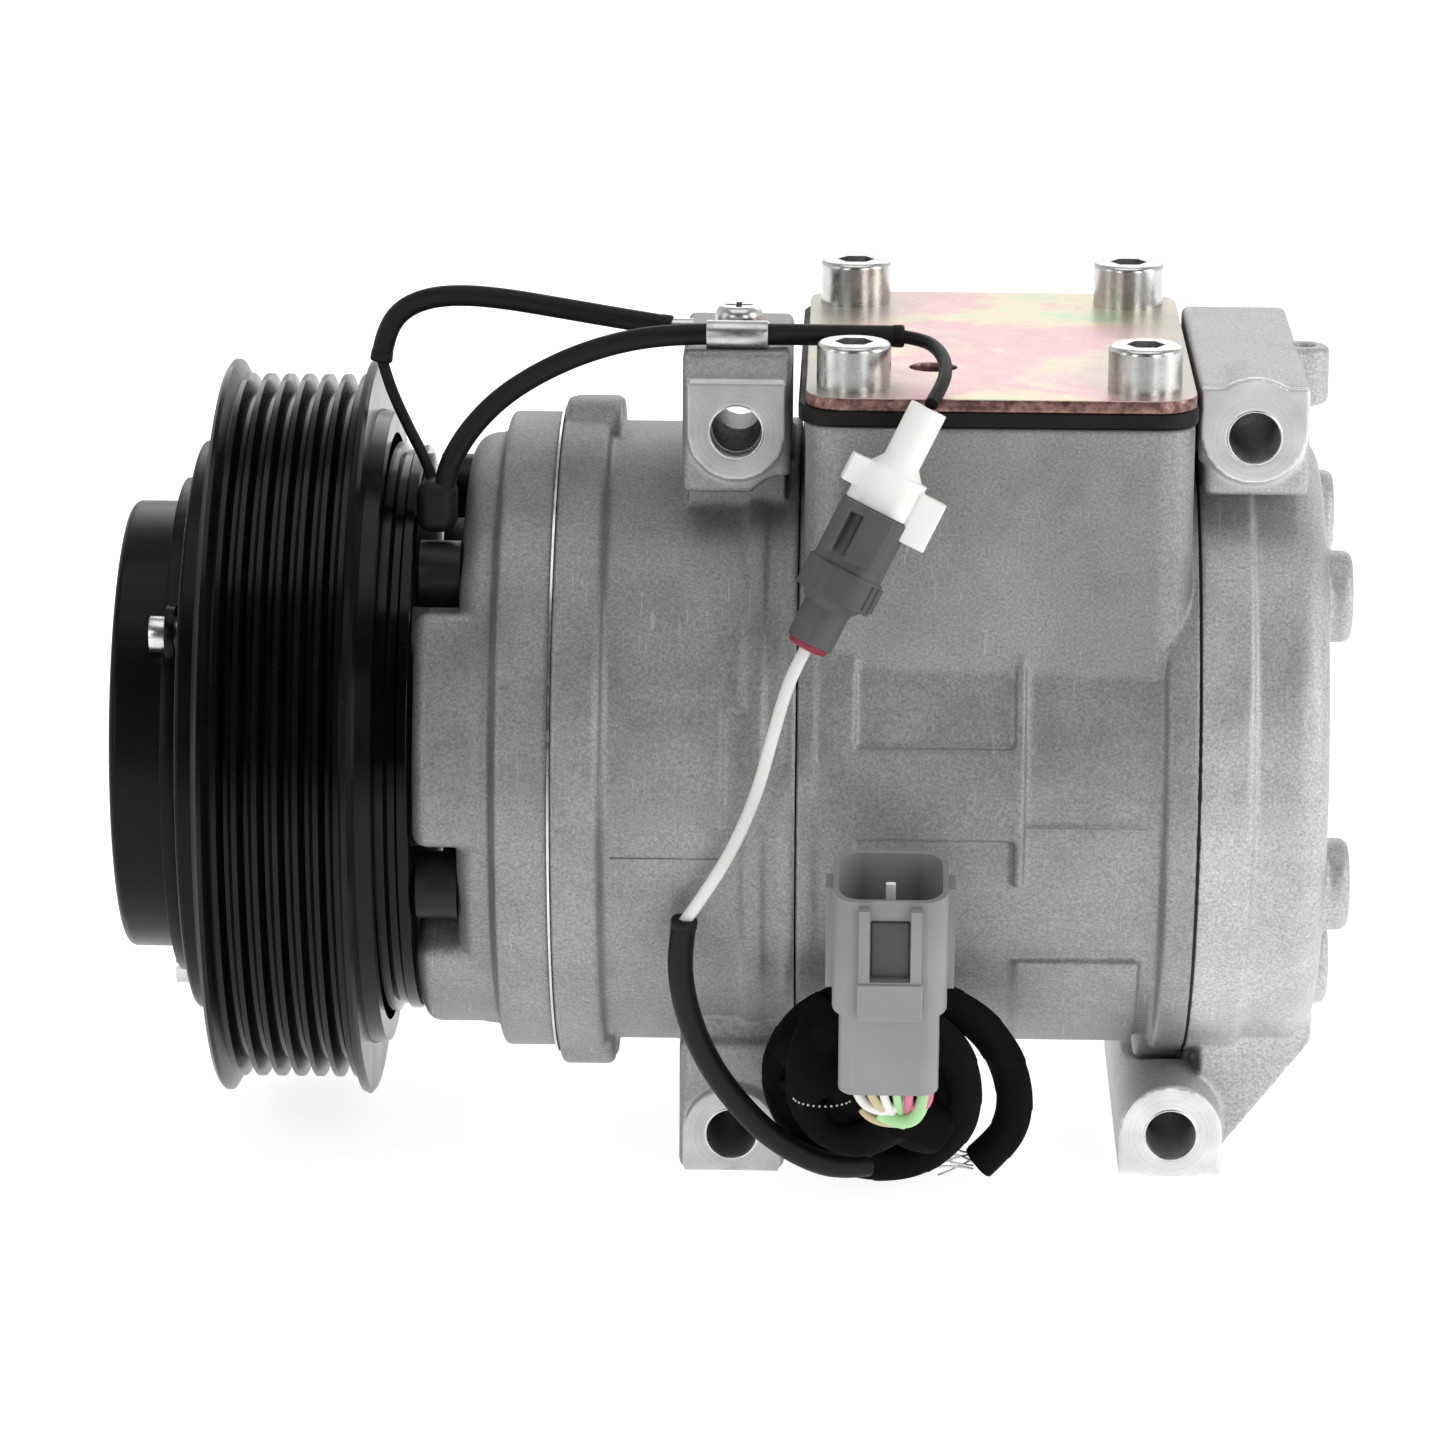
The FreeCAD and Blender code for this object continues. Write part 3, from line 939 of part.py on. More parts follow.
def make_everything():
    fill_sheet()
    make_hub()
    make_armature()
    make_pulley()
    make_bearing()
    make_coil()
    make_front_housing()
    make_valve_plate("front_valve_plate", ("gasket_front - plate_recess + 0.05", "gasket_front - 0.05"))
    flat_ring("front_gasket", ("gasket_front", "gasket_front + gasket_thick"), "plate_radius + 0.5",
              "collar_radius + 0.1")
    make_front_cylinder()
    flat_ring("middle_seal", ("mid_seam", "mid_seam + seam_gap"), "chamber_radius + 0.6", "body_radius - 0.8")
    make_rear_cylinder()
    flat_ring("rear_gasket", ("rear_seam", "rear_seam + gasket_thick"), "plate_radius + 0.5",
              "rear_ring_radius - 0.2")
    make_valve_plate("rear_valve_plate", ("rear_seam + gasket_thick + 0.05",
                                          "rear_seam + gasket_thick + plate_recess - 0.05"))
    make_rear_housing()
    make_bolts()
    make_shaft()
    make_pistons()
    make_ports()
    make_clip()
    make_cords()
    make_plugs()
    make_grey_connector()
    DOC.recompute()


def check_and_write():
    os.makedirs("parts", exist_ok=True)
    for thing in DOC.Objects:
        if "Invalid" in thing.State or "Error" in thing.State:
            raise RuntimeError(f"{thing.Name} ({thing.Label}) failed: {thing.State}")
    for piece in NODES:
        shape = piece.Shape
        if shape.isNull() or not shape.isValid() or not shape.Solids:
            raise RuntimeError(f"{piece.Label} has no valid solid")
    for piece in NODES:
        piece.Shape.exportStep(f"parts/{piece.Label}.step")
    print(len(NODES), "nodes written")


make_everything()
check_and_write()
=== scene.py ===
"""Looks for a swash-plate compressor with its electromagnetic clutch, round the CAD frame.

Metres, in the frame's own axes: +X from the clutch to the rear housing, -Y the wired side, +Z up.
"""
import math

import bmesh
import bpy
from mathutils import Matrix, Vector


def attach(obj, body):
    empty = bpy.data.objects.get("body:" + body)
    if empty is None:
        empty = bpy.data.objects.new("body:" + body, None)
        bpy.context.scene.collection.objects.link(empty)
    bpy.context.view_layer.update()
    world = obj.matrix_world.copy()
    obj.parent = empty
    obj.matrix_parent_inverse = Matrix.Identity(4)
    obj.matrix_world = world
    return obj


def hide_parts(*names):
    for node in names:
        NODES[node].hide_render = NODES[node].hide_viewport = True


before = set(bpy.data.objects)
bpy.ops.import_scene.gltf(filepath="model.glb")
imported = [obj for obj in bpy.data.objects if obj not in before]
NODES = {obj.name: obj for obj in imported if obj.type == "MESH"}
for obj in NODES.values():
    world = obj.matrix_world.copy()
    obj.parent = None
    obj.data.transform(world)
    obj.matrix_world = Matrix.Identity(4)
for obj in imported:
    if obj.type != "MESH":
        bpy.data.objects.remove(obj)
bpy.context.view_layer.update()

MM = 0.001
AXIS_Z = 0.0724          # height of the shaft's axis
ORIGIN_X = -0.1103       # where the front face of the drum lies
EAR_FACE_Y = -0.038      # the milled faces of the four ears on the wired side
EAR_BORES = ((0.001, 0.1364), (0.001, 0.007), (0.0918, 0.1364), (0.0802, 0.0078))    # X, Z
INWARD = (0, 1, 0)       # the way the ears' bores run
PISTONS = range(1, 6)
MAP_RANGE = ("From Min", "From Max", "To Min", "To Max")


# ---------------------------------------------------------------- camera

CAMERA_AT = Vector((0.02456, -1.10237, 0.36308))
CAMERA_AZIMUTH = math.radians(1.38)
CAMERA_ELEVATION = math.radians(14.7)
CAMERA_ROLL = math.radians(0.36)
CAMERA_LENS = 154.5
SENSOR_WIDTH = 36


def make_camera():
    level = math.cos(CAMERA_ELEVATION)
    back = Vector((math.sin(CAMERA_AZIMUTH) * level, -math.cos(CAMERA_AZIMUTH) * level,
                   math.sin(CAMERA_ELEVATION)))
    right = (-back).cross(Vector((0, 0, 1))).normalized()
    up = right.cross(-back)
    across = math.cos(CAMERA_ROLL) * right + math.sin(CAMERA_ROLL) * up
    upward = -math.sin(CAMERA_ROLL) * right + math.cos(CAMERA_ROLL) * up
    data = bpy.data.cameras.new("camera")
    data.lens = CAMERA_LENS
    data.sensor_width = SENSOR_WIDTH
    camera = bpy.data.objects.new("camera", data)
    bpy.context.scene.collection.objects.link(camera)
    turn = Matrix((across, upward, back)).transposed()
    camera.matrix_world = Matrix.Translation(CAMERA_AT) @ turn.to_4x4()
    bpy.context.scene.camera = camera


# ---------------------------------------------------------------- mesh helpers

WELD_REACH = 1e-6        # the frame's meshes have split corners, this far apart at most
SHARP = math.radians(30)
CORD_STEPS = 16
CORD_ROUNDNESS = 8


def link(name, data):
    piece = bpy.data.objects.new(name, data)
    bpy.context.scene.collection.objects.link(piece)
    return piece


def mesh_piece(name, build, material=None):
    """A piece whose mesh is made by build(bm)."""
    bm = bmesh.new()
    build(bm)
    bmesh.ops.recalc_face_normals(bm, faces=bm.faces)
    mesh = bpy.data.meshes.new(name)
    bm.to_mesh(mesh)
    bm.free()
    for face in mesh.polygons:
        face.use_smooth = True
    piece = link(name, mesh)
    if material:
        mesh.materials.append(material)
    return piece


def detail(name, build, look, slot):
    """A small visual piece fixed to the compressor."""
    piece = mesh_piece(name, build, look)
    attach(piece, "compressor")
    return piece


def weld(piece):
    piece.modifiers.new("weld", "WELD").merge_threshold = WELD_REACH


def bevel(piece, width):
    """Round the piece's sharp edges."""
    weld(piece)
    edge = piece.modifiers.new("bevel", "BEVEL")
    edge.width = width
    edge.segments = 3
    edge.limit_method = "ANGLE"
    edge.angle_limit = SHARP
    edge.harden_normals = True
    edge.use_clamp_overlap = True


def cast(piece, voxel, smoothing, keep=0.4):
    weld(piece)
    skin = piece.modifiers.new("skin", "REMESH")
    skin.mode = "VOXEL"
    skin.voxel_size = voxel * 1
    skin.use_smooth_shade = True
    soften = piece.modifiers.new("soften", "SMOOTH")
    soften.factor = 0.5
    soften.iterations = smoothing
    thin = piece.modifiers.new("thin", "DECIMATE")
    thin.ratio = keep


def spline_line(points):
    """Points along the smooth line that a cord's route gives."""
    holder = link("line", cord_curve("line", points, 0))
    mesh = bpy.data.meshes.new_from_object(holder)
    line = [vertex.co.copy() for vertex in mesh.vertices]
    bpy.data.objects.remove(holder)
    bpy.data.meshes.remove(mesh)
    return line


def cord_curve(name, points, thickness):
    curve = bpy.data.curves.new(name, "CURVE")
    curve.dimensions = "3D"
    spline = curve.splines.new("NURBS")
    spline.points.add(len(points) - 1)
    for point, place in zip(spline.points, points):
        point.co = (*place, 1)
    spline.order_u = 3
    spline.use_endpoint_u = True
    spline.resolution_u = CORD_STEPS
    curve.bevel_depth = thickness / 2
    curve.bevel_resolution = CORD_ROUNDNESS
    curve.use_fill_caps = thickness > 0
    return curve


def frames_along(line):
    """A moving pair of side vectors that doesn't twist along the line."""
    last = len(line) - 1
    tangents = [(line[min(i + 1, last)] - line[max(i - 1, 0)]).normalized()
                for i in range(len(line))]
    side = tangents[0].orthogonal().normalized()
    pairs = []
    for tangent in tangents:
        side = (side - tangent * side.dot(tangent)).normalized()
        pairs.append((side, tangent.cross(side)))
    return pairs


def swept(bm, line, radius, around):
    """A closed tube along a line; radius(distance, angle) gives its size."""
    rings = []
    travelled = 0
    for i, (place, (side, other)) in enumerate(zip(line, frames_along(line))):
        travelled += (place - line[i - 1]).length if i else 0
        ring = []
        for step in range(around):
            angle = 2 * math.pi * step / around
            out = math.cos(angle) * side + math.sin(angle) * other
            ring.append(bm.verts.new(place + radius(travelled, angle) * out))
        rings.append(ring)
    for first, second in zip(rings, rings[1:]):
        for step in range(around):
            after = (step + 1) % around
            bm.faces.new((first[step], first[after], second[after], second[step]))
    bm.faces.new(rings[0])
    bm.faces.new(list(reversed(rings[-1])))


def turned(bm, outline, start, along, around):
    """A ring turned about an axis, from closed (distance, radius) corners."""
    along = Vector(along).normalized()
    side = along.orthogonal().normalized()
    other = along.cross(side)
    rings = []
    for step in range(around):
        angle = 2 * math.pi * step / around
        out = math.cos(angle) * side + math.sin(angle) * other
        rings.append([bm.verts.new(Vector(start) + along * distance + out * radius)
                      for distance, radius in outline])
    count = len(outline)
    for step in range(around):
        here, there = rings[step], rings[(step + 1) % around]
        for i in range(count):
            j = (i + 1) % count
            bm.faces.new((here[i], here[j], there[j], there[i]))


def round_body(angle, radius, x):
    """A point round the axis: an angle from -Y towards +Z, a radius, a distance from the drum."""
    turn = math.radians(angle)
    return Vector((ORIGIN_X + x * MM, -radius * MM * math.cos(turn),
                   AXIS_Z + radius * MM * math.sin(turn)))


# ---------------------------------------------------------------- materials

class Nodes:
    """A short way to write a material's nodes."""

    def __init__(self, name):
        self.material = bpy.data.materials.new(name)
        self.material.use_nodes = True
        self.tree = self.material.node_tree
        self.tree.nodes.clear()
        output = self.tree.nodes.new("ShaderNodeOutputMaterial")
        self.shader = self.tree.nodes.new("ShaderNodeBsdfPrincipled")
        self.tree.links.new(self.shader.outputs[0], output.inputs[0])
        self.places = self.tree.nodes.new("ShaderNodeTexCoord")

    def link(self, source, target):
        self.tree.links.new(source, target)

    def set(self, **numbers):
        for name, number in numbers.items():
            self.shader.inputs[name.replace("_", " ")].default_value = number

    def stretch(self, scale=(1, 1, 1), turn=(0, 0, 0)):
        node = self.tree.nodes.new("ShaderNodeMapping")
        node.inputs["Scale"].default_value = scale
        node.inputs["Rotation"].default_value = turn
        self.link(self.places.outputs["Object"], node.inputs["Vector"])
        return node.outputs[0]

    def noise(self, scale, detail=3, rough=0.55, place=None, distortion=0):
        node = self.tree.nodes.new("ShaderNodeTexNoise")
        node.inputs["Scale"].default_value = scale
        node.inputs["Detail"].default_value = detail
        node.inputs["Roughness"].default_value = rough
        node.inputs["Distortion"].default_value = distortion
        self.link(place or self.places.outputs["Object"], node.inputs["Vector"])
        return node.outputs["Fac"]

    def ramp(self, source, stops):
        node = self.tree.nodes.new("ShaderNodeValToRGB")
        while len(node.color_ramp.elements) < len(stops):
            node.color_ramp.elements.new(0.5)
        for element, (position, colour) in zip(node.color_ramp.elements, stops):
            element.position = position
            element.color = (*colour, 1)
        self.link(source, node.inputs[0])
        return node.outputs[0]

    def span(self, source, low, high, to_low, to_high):
        """Map a value from one range to another, clamped."""
        node = self.tree.nodes.new("ShaderNodeMapRange")
        for name, number in zip(MAP_RANGE, (low, high, to_low, to_high)):
            node.inputs[name].default_value = number
        self.link(source, node.inputs["Value"])
        return node.outputs[0]

    def math(self, how, first, second=0):
        node = self.tree.nodes.new("ShaderNodeMath")
        node.operation = how
        for place, value in enumerate((first, second)):
            if isinstance(value, (int, float)):
                node.inputs[place].default_value = value
            else:
                self.link(value, node.inputs[place])
        return node.outputs[0]

    def mix(self, factor, first, second, blend="MIX"):
        node = self.tree.nodes.new("ShaderNodeMix")
        node.data_type = "RGBA"
        node.blend_type = blend
        for place, value in ((0, factor), (6, first), (7, second)):
            socket = node.inputs[place]
            if isinstance(value, (int, float)):
                socket.default_value = value
            elif isinstance(value, tuple):
                socket.default_value = (*value, 1)
            else:
                self.link(value, socket)
        return node.outputs[2]

    def axis(self, which, space="Object"):
        node = self.tree.nodes.new("ShaderNodeSeparateXYZ")
        self.link(self.places.outputs[space], node.inputs[0])
        return node.outputs["XYZ".index(which)]

    def rings(self, centres):
        """A place that depends only on the distance to the nearest centre, in half millimetres."""
        nearest = 1.0
        for x, z in centres:
            across = self.math("SUBTRACT", self.axis("X"), x)
            upward = self.math("SUBTRACT", self.axis("Z"), z)
            square = self.math("ADD", self.math("MULTIPLY", across, across),
                               self.math("MULTIPLY", upward, upward))
            nearest = self.math("MINIMUM", self.math("SQRT", square), nearest)
        join = self.tree.nodes.new("ShaderNodeCombineXYZ")
        self.link(self.math("MULTIPLY", nearest, 2 / MM), join.inputs[0])
        return join.outputs[0]

    def bump(self, height, strength, distance, under=None):
        node = self.tree.nodes.new("ShaderNodeBump")
        node.inputs["Strength"].default_value = strength
        node.inputs["Distance"].default_value = distance
        self.link(height, node.inputs["Height"])
        if under:
            self.link(under, node.inputs["Normal"])
        return node.outputs[0]

    def finish(self, colour, roughness=None, normal=None):
        for name, source in (("Base Color", colour), ("Roughness", roughness), ("Normal", normal)):
            if source is not None:
                self.link(source, self.shader.inputs[name])
        return self.material


def grey(value):
    return (value, value, value)


def scratches(n, scale, turn, amount):
    """Bright hairlines, stretched along one direction, that gather in a few rubbed places."""
    streak = n.noise(scale, 3, 0.5, n.stretch((1, 0.05, 0.1), turn))
    rubbed = n.span(n.noise(42, 2, 0.5, n.stretch((1, 1, 1), turn)), 0.56, 0.66, 0, 1)
    return n.math("MULTIPLY", n.math("MULTIPLY", n.span(streak, 0.64, 0.72, 0, 1), rubbed), amount)


def cast_aluminium(name, tone, milled_tone=None):
    """Sand-cast aluminium: speckled grain, soft blotches, hairline marks and milled ear faces."""
    n = Nodes(name)
    n.set(Metallic=0.55, Specular_IOR_Level=0.4)
    grain = n.noise(2100, 3, 0.75)
    blotch = n.noise(85, 5, 0.65)
    colour = n.ramp(grain, [(0.34, grey(tone * 0.72)), (0.50, grey(tone)),
                            (0.66, grey(tone * 1.26))])
    blotches = n.ramp(blotch, [(0.36, grey(0.72)), (0.60, grey(1.0))])
    smears = n.ramp(n.noise(22, 3, 0.5), [(0.38, grey(0.72)), (0.60, grey(1.0))])
    colour = n.mix(0.35, n.mix(0.55, colour, blotches, "MULTIPLY"), smears, "MULTIPLY")
    marks = n.math("ADD", scratches(n, 1500, (0.3, 0.5, 0.9), 0.30),
                   scratches(n, 1900, (1.2, 0.1, 2.3), 0.22))
    colour = n.mix(marks, colour, grey(min(1, tone * 2.2)))
    roughness = n.span(blotch, 0.3, 0.7, 0.42, 0.58)
    if milled_tone:
        height = n.math("ABSOLUTE", n.math("SUBTRACT", n.axis("Z"), AXIS_Z))
        faces = n.span(n.axis("Y"), EAR_FACE_Y + 1.3 * MM, EAR_FACE_Y + 0.8 * MM, 0, 1)
        ears = n.math("MULTIPLY", faces, n.span(height, 0.049, 0.050, 0, 1))
        lines = n.noise(2.2, 3, 0.6, n.rings(EAR_BORES))
        shine = n.math("ADD", n.math("MULTIPLY", lines, 0.6),
                       n.math("MULTIPLY", n.noise(160, 3, 0.5), 0.4))
        milled = n.ramp(shine, [(0.36, grey(milled_tone * 0.78)), (0.64, grey(milled_tone * 1.22))])
        colour = n.mix(ears, colour, milled)
        roughness = n.math("SUBTRACT", roughness, n.math("MULTIPLY", ears, 0.14))
        relief = n.span(ears, 0, 1, 1, 0.1)
        grain, blotch = n.math("MULTIPLY", grain, relief), n.math("MULTIPLY", blotch, relief)
    bumps = n.bump(grain, 0.30, 0.00012, n.bump(blotch, 0.22, 0.0005))
    return n.finish(colour, roughness, bumps)


def black_paint(name, tone, rough, grain=900, specular=0.22, coat=0.0):
    """Black paint on steel: orange peel, faint dust and rubbed patches."""
    n = Nodes(name)
    n.set(Specular_IOR_Level=specular, Coat_Weight=coat, Coat_Roughness=0.12)
    peel = n.noise(grain, 3, 0.5)
    dust = n.noise(2400, 2, 0.6)
    patch = n.noise(60, 3, 0.5)
    colour = n.ramp(patch, [(0.3, grey(tone * 0.8)), (0.7, grey(tone * 1.5))])
    colour = n.mix(n.span(dust, 0.66, 0.78, 0, 0.25), colour, grey(0.09))
    roughness = n.span(patch, 0.3, 0.7, rough * 0.85, rough * 1.2)
    return n.finish(colour, roughness, n.bump(peel, 0.10, 0.00008))


def plated(name, tone, rough, tint=(1, 1, 0.985), streak=(1, 1, 0.04)):
    """Bright zinc or ground steel with faint drawn lines and stains."""
    n = Nodes(name)
    n.set(Metallic=1.0)
    lines = n.noise(1500, 3, 0.6, n.stretch(streak))
    stain = n.noise(160, 4, 0.6)
    colour = n.ramp(stain, [(0.3, tuple(tone * 0.80 * t for t in tint)),
                            (0.65, tuple(tone * t for t in tint))])
    colour = n.mix(0.3, colour, n.ramp(lines, [(0.35, grey(0.72)), (0.65, grey(1.0))]), "MULTIPLY")
    roughness = n.span(n.noise(500, 3, 0.5), 0.3, 0.7, rough * 0.8, rough * 1.35)
    return n.finish(colour, roughness, n.bump(lines, 0.08, 0.00005))


PLATE_MIDDLE_X = 0.050


def iridescent_zinc(name):
    """Yellow-passivated zinc: clouds of pink and green on pale metal, copper-coloured edges."""
    n = Nodes(name)
    n.set(Metallic=0.55)
    clouds = n.noise(36, 4, 0.62, n.stretch((1, 0.8, 1), (0, 0, 0.4)), 0.25)
    tint = n.ramp(clouds, [(0.32, (0.56, 0.70, 0.46)), (0.42, (0.80, 0.70, 0.48)),
                           (0.50, (0.78, 0.44, 0.47)), (0.57, (0.80, 0.52, 0.54)),
                           (0.65, (0.80, 0.72, 0.50)), (0.74, (0.56, 0.70, 0.46))])
    from_middle = n.math("ABSOLUTE", n.math("SUBTRACT", n.axis("X"), PLATE_MIDDLE_X))
    fade = n.math("ADD", n.span(from_middle, 0.008, 0.032, 0.0, 1.0),
                  n.span(n.noise(30, 4, 0.6), 0.35, 0.65, -0.35, 0.35))
    colour = n.mix(n.span(fade, 0.2, 1.0, 0.12, 0.92), tint, (0.42, 0.43, 0.34))
    edge = n.span(n.axis("Z", "Normal"), 0.35, 0.75, 1, 0)
    mottle = n.ramp(n.noise(420, 4, 0.7), [(0.38, (0.10, 0.05, 0.045)), (0.55, (0.32, 0.17, 0.15)),
                                           (0.70, (0.50, 0.34, 0.26))])
    colour = n.mix(edge, colour, mottle)
    fine = n.noise(1800, 3, 0.6)
    return n.finish(colour, n.span(fine, 0.3, 0.7, 0.26, 0.42), n.bump(fine, 0.05, 0.00006))


def tinted_rubber(name, low, high):
    """Silicone rubber in a colour of its own."""
    n = Nodes(name)
    n.set(Specular_IOR_Level=0.4)
    bloom = n.noise(300, 3, 0.5)
    colour = n.ramp(bloom, [(0.3, low), (0.7, high)])
    return n.finish(colour, n.span(bloom, 0.3, 0.7, 0.36, 0.5),
                    n.bump(n.noise(1600, 3, 0.6), 0.1, 0.0001))


def rubber(name, tone, rough, grain=1600):
    """Black rubber with a faint bloom."""
    n = Nodes(name)
    n.set(Specular_IOR_Level=0.25)
    texture = n.noise(grain, 3, 0.6)
    bloom = n.noise(90, 3, 0.5)
    colour = n.ramp(bloom, [(0.3, grey(tone * 0.7)), (0.7, grey(tone * 1.5))])
    return n.finish(colour, n.span(bloom, 0.3, 0.7, rough * 0.9, rough * 1.15),
                    n.bump(texture, 0.16, 0.0001))


def cloth_tape(name, tone):
    """Woven harness tape: two crossed sets of threads under a dull black."""
    n = Nodes(name)
    n.set(Specular_IOR_Level=0.06)
    first = n.noise(3000, 1, 0.3, n.stretch((1, 0.15, 0.15)))
    second = n.noise(3000, 1, 0.3, n.stretch((0.15, 1, 1)))
    weave = n.math("ADD", first, second)
    colour = n.ramp(weave, [(0.40, grey(tone * 0.6)), (0.62, grey(tone * 1.6))])
    return n.finish(colour, n.span(weave, 0.7, 1.3, 0.75, 0.9), n.bump(weave, 0.30, 0.00012))


def moulded(name, colour_low, colour_high, rough):
    """Moulded nylon: fine spark texture and slight tone drift."""
    n = Nodes(name)
    n.set(Specular_IOR_Level=0.35)
    texture = n.noise(2200, 3, 0.6)
    drift = n.noise(60, 3, 0.5)
    colour = n.ramp(drift, [(0.3, colour_low), (0.7, colour_high)])
    return n.finish(colour, n.span(texture, 0.3, 0.7, rough * 0.85, rough * 1.2),
                    n.bump(texture, 0.10, 0.00006))


def wire_skin(name, colour):
    return moulded(name, tuple(c * 0.86 for c in colour), colour, 0.35)


# each look's maker, and what the maker is given after the name
LOOK_TABLE = {
    "cast_front": (cast_aluminium, 0.34),
    "cast_middle": (cast_aluminium, 0.34, 0.56),
    "cast_rear_cylinder": (cast_aluminium, 0.345),
    "cast_rear": (cast_aluminium, 0.56, 0.74),
    "hub_black": (black_paint, 0.0035, 0.30, 900, 0.14),
    "pulley_black": (black_paint, 0.003, 0.22, 700, 0.2),
    "coil_black": (black_paint, 0.0025, 0.14, 500, 0.12, 0.12),
    "bolt_black": (black_paint, 0.012, 0.38),
    "zinc": (plated, 0.72, 0.25),
    "clip_steel": (plated, 0.66, 0.30, (1, 1, 1), (1, 0.05, 1)),
    "bearing_steel": (plated, 0.66, 0.22, (1, 1, 1)),
    "shaft_steel": (plated, 0.56, 0.25, (1, 1, 1), (0.04, 1, 1)),
    "swash_iron": (plated, 0.36, 0.40, (1, 1, 1), (1, 0.3, 0.3)),
    "gasket_metal": (plated, 0.80, 0.25, (1, 1, 1)),
    "piston_metal": (plated, 0.70, 0.30, (1, 1, 1), (0.05, 1, 1)),
    "shoe_bronze": (plated, 0.72, 0.25, (1, 0.78, 0.48)),
    "winding_copper": (plated, 0.75, 0.35, (1, 0.52, 0.30), (1, 0.2, 0.2)),
    "pin_metal": (moulded, (0.84, 0.84, 0.83), (0.98, 0.98, 0.97), 0.28),
    "plate_zinc": (iridescent_zinc,),
    "milled": (plated, 0.80, 0.28, (1, 1, 1), (0.2, 1, 1)),
    # painted shade: a near-black colour standing in for the shade inside the grey connector's latch
    # window
    "window_dark": (moulded, (0.045, 0.045, 0.046), (0.07, 0.07, 0.071), 0.45),
    "rubber_black": (rubber, 0.005, 0.55),
    "grommet_black": (rubber, 0.008, 0.5, 1200),
    "sleeve_black": (rubber, 0.0048, 0.5, 1400),
    "loom_tape": (cloth_tape, 0.0030),
    "seal_red": (tinted_rubber, (0.20, 0.012, 0.03), (0.36, 0.03, 0.06)),
    "connector_white": (moulded, (0.97, 0.965, 0.94), (1.0, 1.0, 0.985), 0.4),
    "connector_dark": (moulded, (0.075, 0.077, 0.080), (0.100, 0.102, 0.106), 0.42),
    "connector_grey": (moulded, (0.245, 0.245, 0.247), (0.29, 0.29, 0.292), 0.36),
    "wire_white": (wire_skin, (0.86, 0.86, 0.84)),
    "wire_green": (wire_skin, (0.42, 0.74, 0.36)),
    "wire_pink": (wire_skin, (0.72, 0.20, 0.32)),
    "wire_tan": (wire_skin, (0.62, 0.52, 0.30)),
}


def make_materials():
    return {name: maker(name, *numbers) for name, (maker, *numbers) in LOOK_TABLE.items()}


LOOK_NODES = {
    "hub_black": ("hub_drum", "inner_hub", "spider_plate", "armature_plate"),
    "rubber_black": ("rubber_damper", "shaft_seal", "middle_seal", "rear_gasket", "port_gasket"),
    "zinc": ("armature_rivets", "shaft_nut", "port_bolts", "clip_screw", "ring_terminal"),
    "bearing_steel": ("air_gap_shims", "bearing_outer_ring", "bearing_inner_ring",
                      "bearing_balls", "bearing_snap_ring", "coil_snap_ring",
                      "front_valve_plate", "rear_valve_plate", "thrust_bearings",
                      "shaft_bearings"),
    "pulley_black": ("pulley",),
    "coil_black": ("coil_housing",),
    "winding_copper": ("coil_winding",),
    "grommet_black": ("coil_lead_clamp",),
    "cast_front": ("front_housing",),
    "gasket_metal": ("front_gasket",),
    "cast_middle": ("front_cylinder",),
    "cast_rear_cylinder": ("rear_cylinder",),
    "cast_rear": ("rear_housing",),
    "bolt_black": ("through_bolts",),
    "shaft_steel": ("drive_shaft",),
    "swash_iron": ("swash_plate",),
    "plate_zinc": ("port_cover_plate",),
    "clip_steel": ("lead_clip",),
    "connector_white": ("white_connector",),
    "connector_dark": ("dark_connector",),
    "connector_grey": ("grey_connector",),
    "pin_metal": ("connector_pins",),
    "piston_metal": [f"piston_{number}" for number in PISTONS],
    "shoe_bronze": [f"shoes_{number}" for number in PISTONS],
}


def dress_nodes(looks):
    """Give each carried-over CAD node its material."""
    for look, nodes in LOOK_NODES.items():
        for node in nodes:
            piece = NODES[node]
            if not piece.material_slots:
                piece.data.materials.append(looks[look])
            for slot in piece.material_slots:
                slot.material = looks[look]


def shape_nodes():
    """Blended skins on the castings and plugs, small rounds on the pressed and turned pieces."""
    for node, keep in (("front_housing", 0.25), ("front_cylinder", 0.25), ("rear_cylinder", 0.25),
                       ("rear_housing", 0.38)):
        cast(NODES[node], 0.5 * MM, 3, keep)
    for node in ("dark_connector", "white_connector"):
        cast(NODES[node], 0.22 * MM, 3, 0.35)
    cast(NODES["coil_lead_clamp"], 0.25 * MM, 6)
    cast(NODES["port_cover_plate"], 0.3 * MM, 2, 0.35)
    for node, width in (("grey_connector", 0.3), ("port_gasket", 0.5), ("lead_clip", 0.12),
                        ("spider_plate", 0.3), ("shaft_nut", 0.3), ("armature_rivets", 0.5),
                        ("through_bolts", 0.5)):
        bevel(NODES[node], width * MM)


# ---------------------------------------------------------------- cords

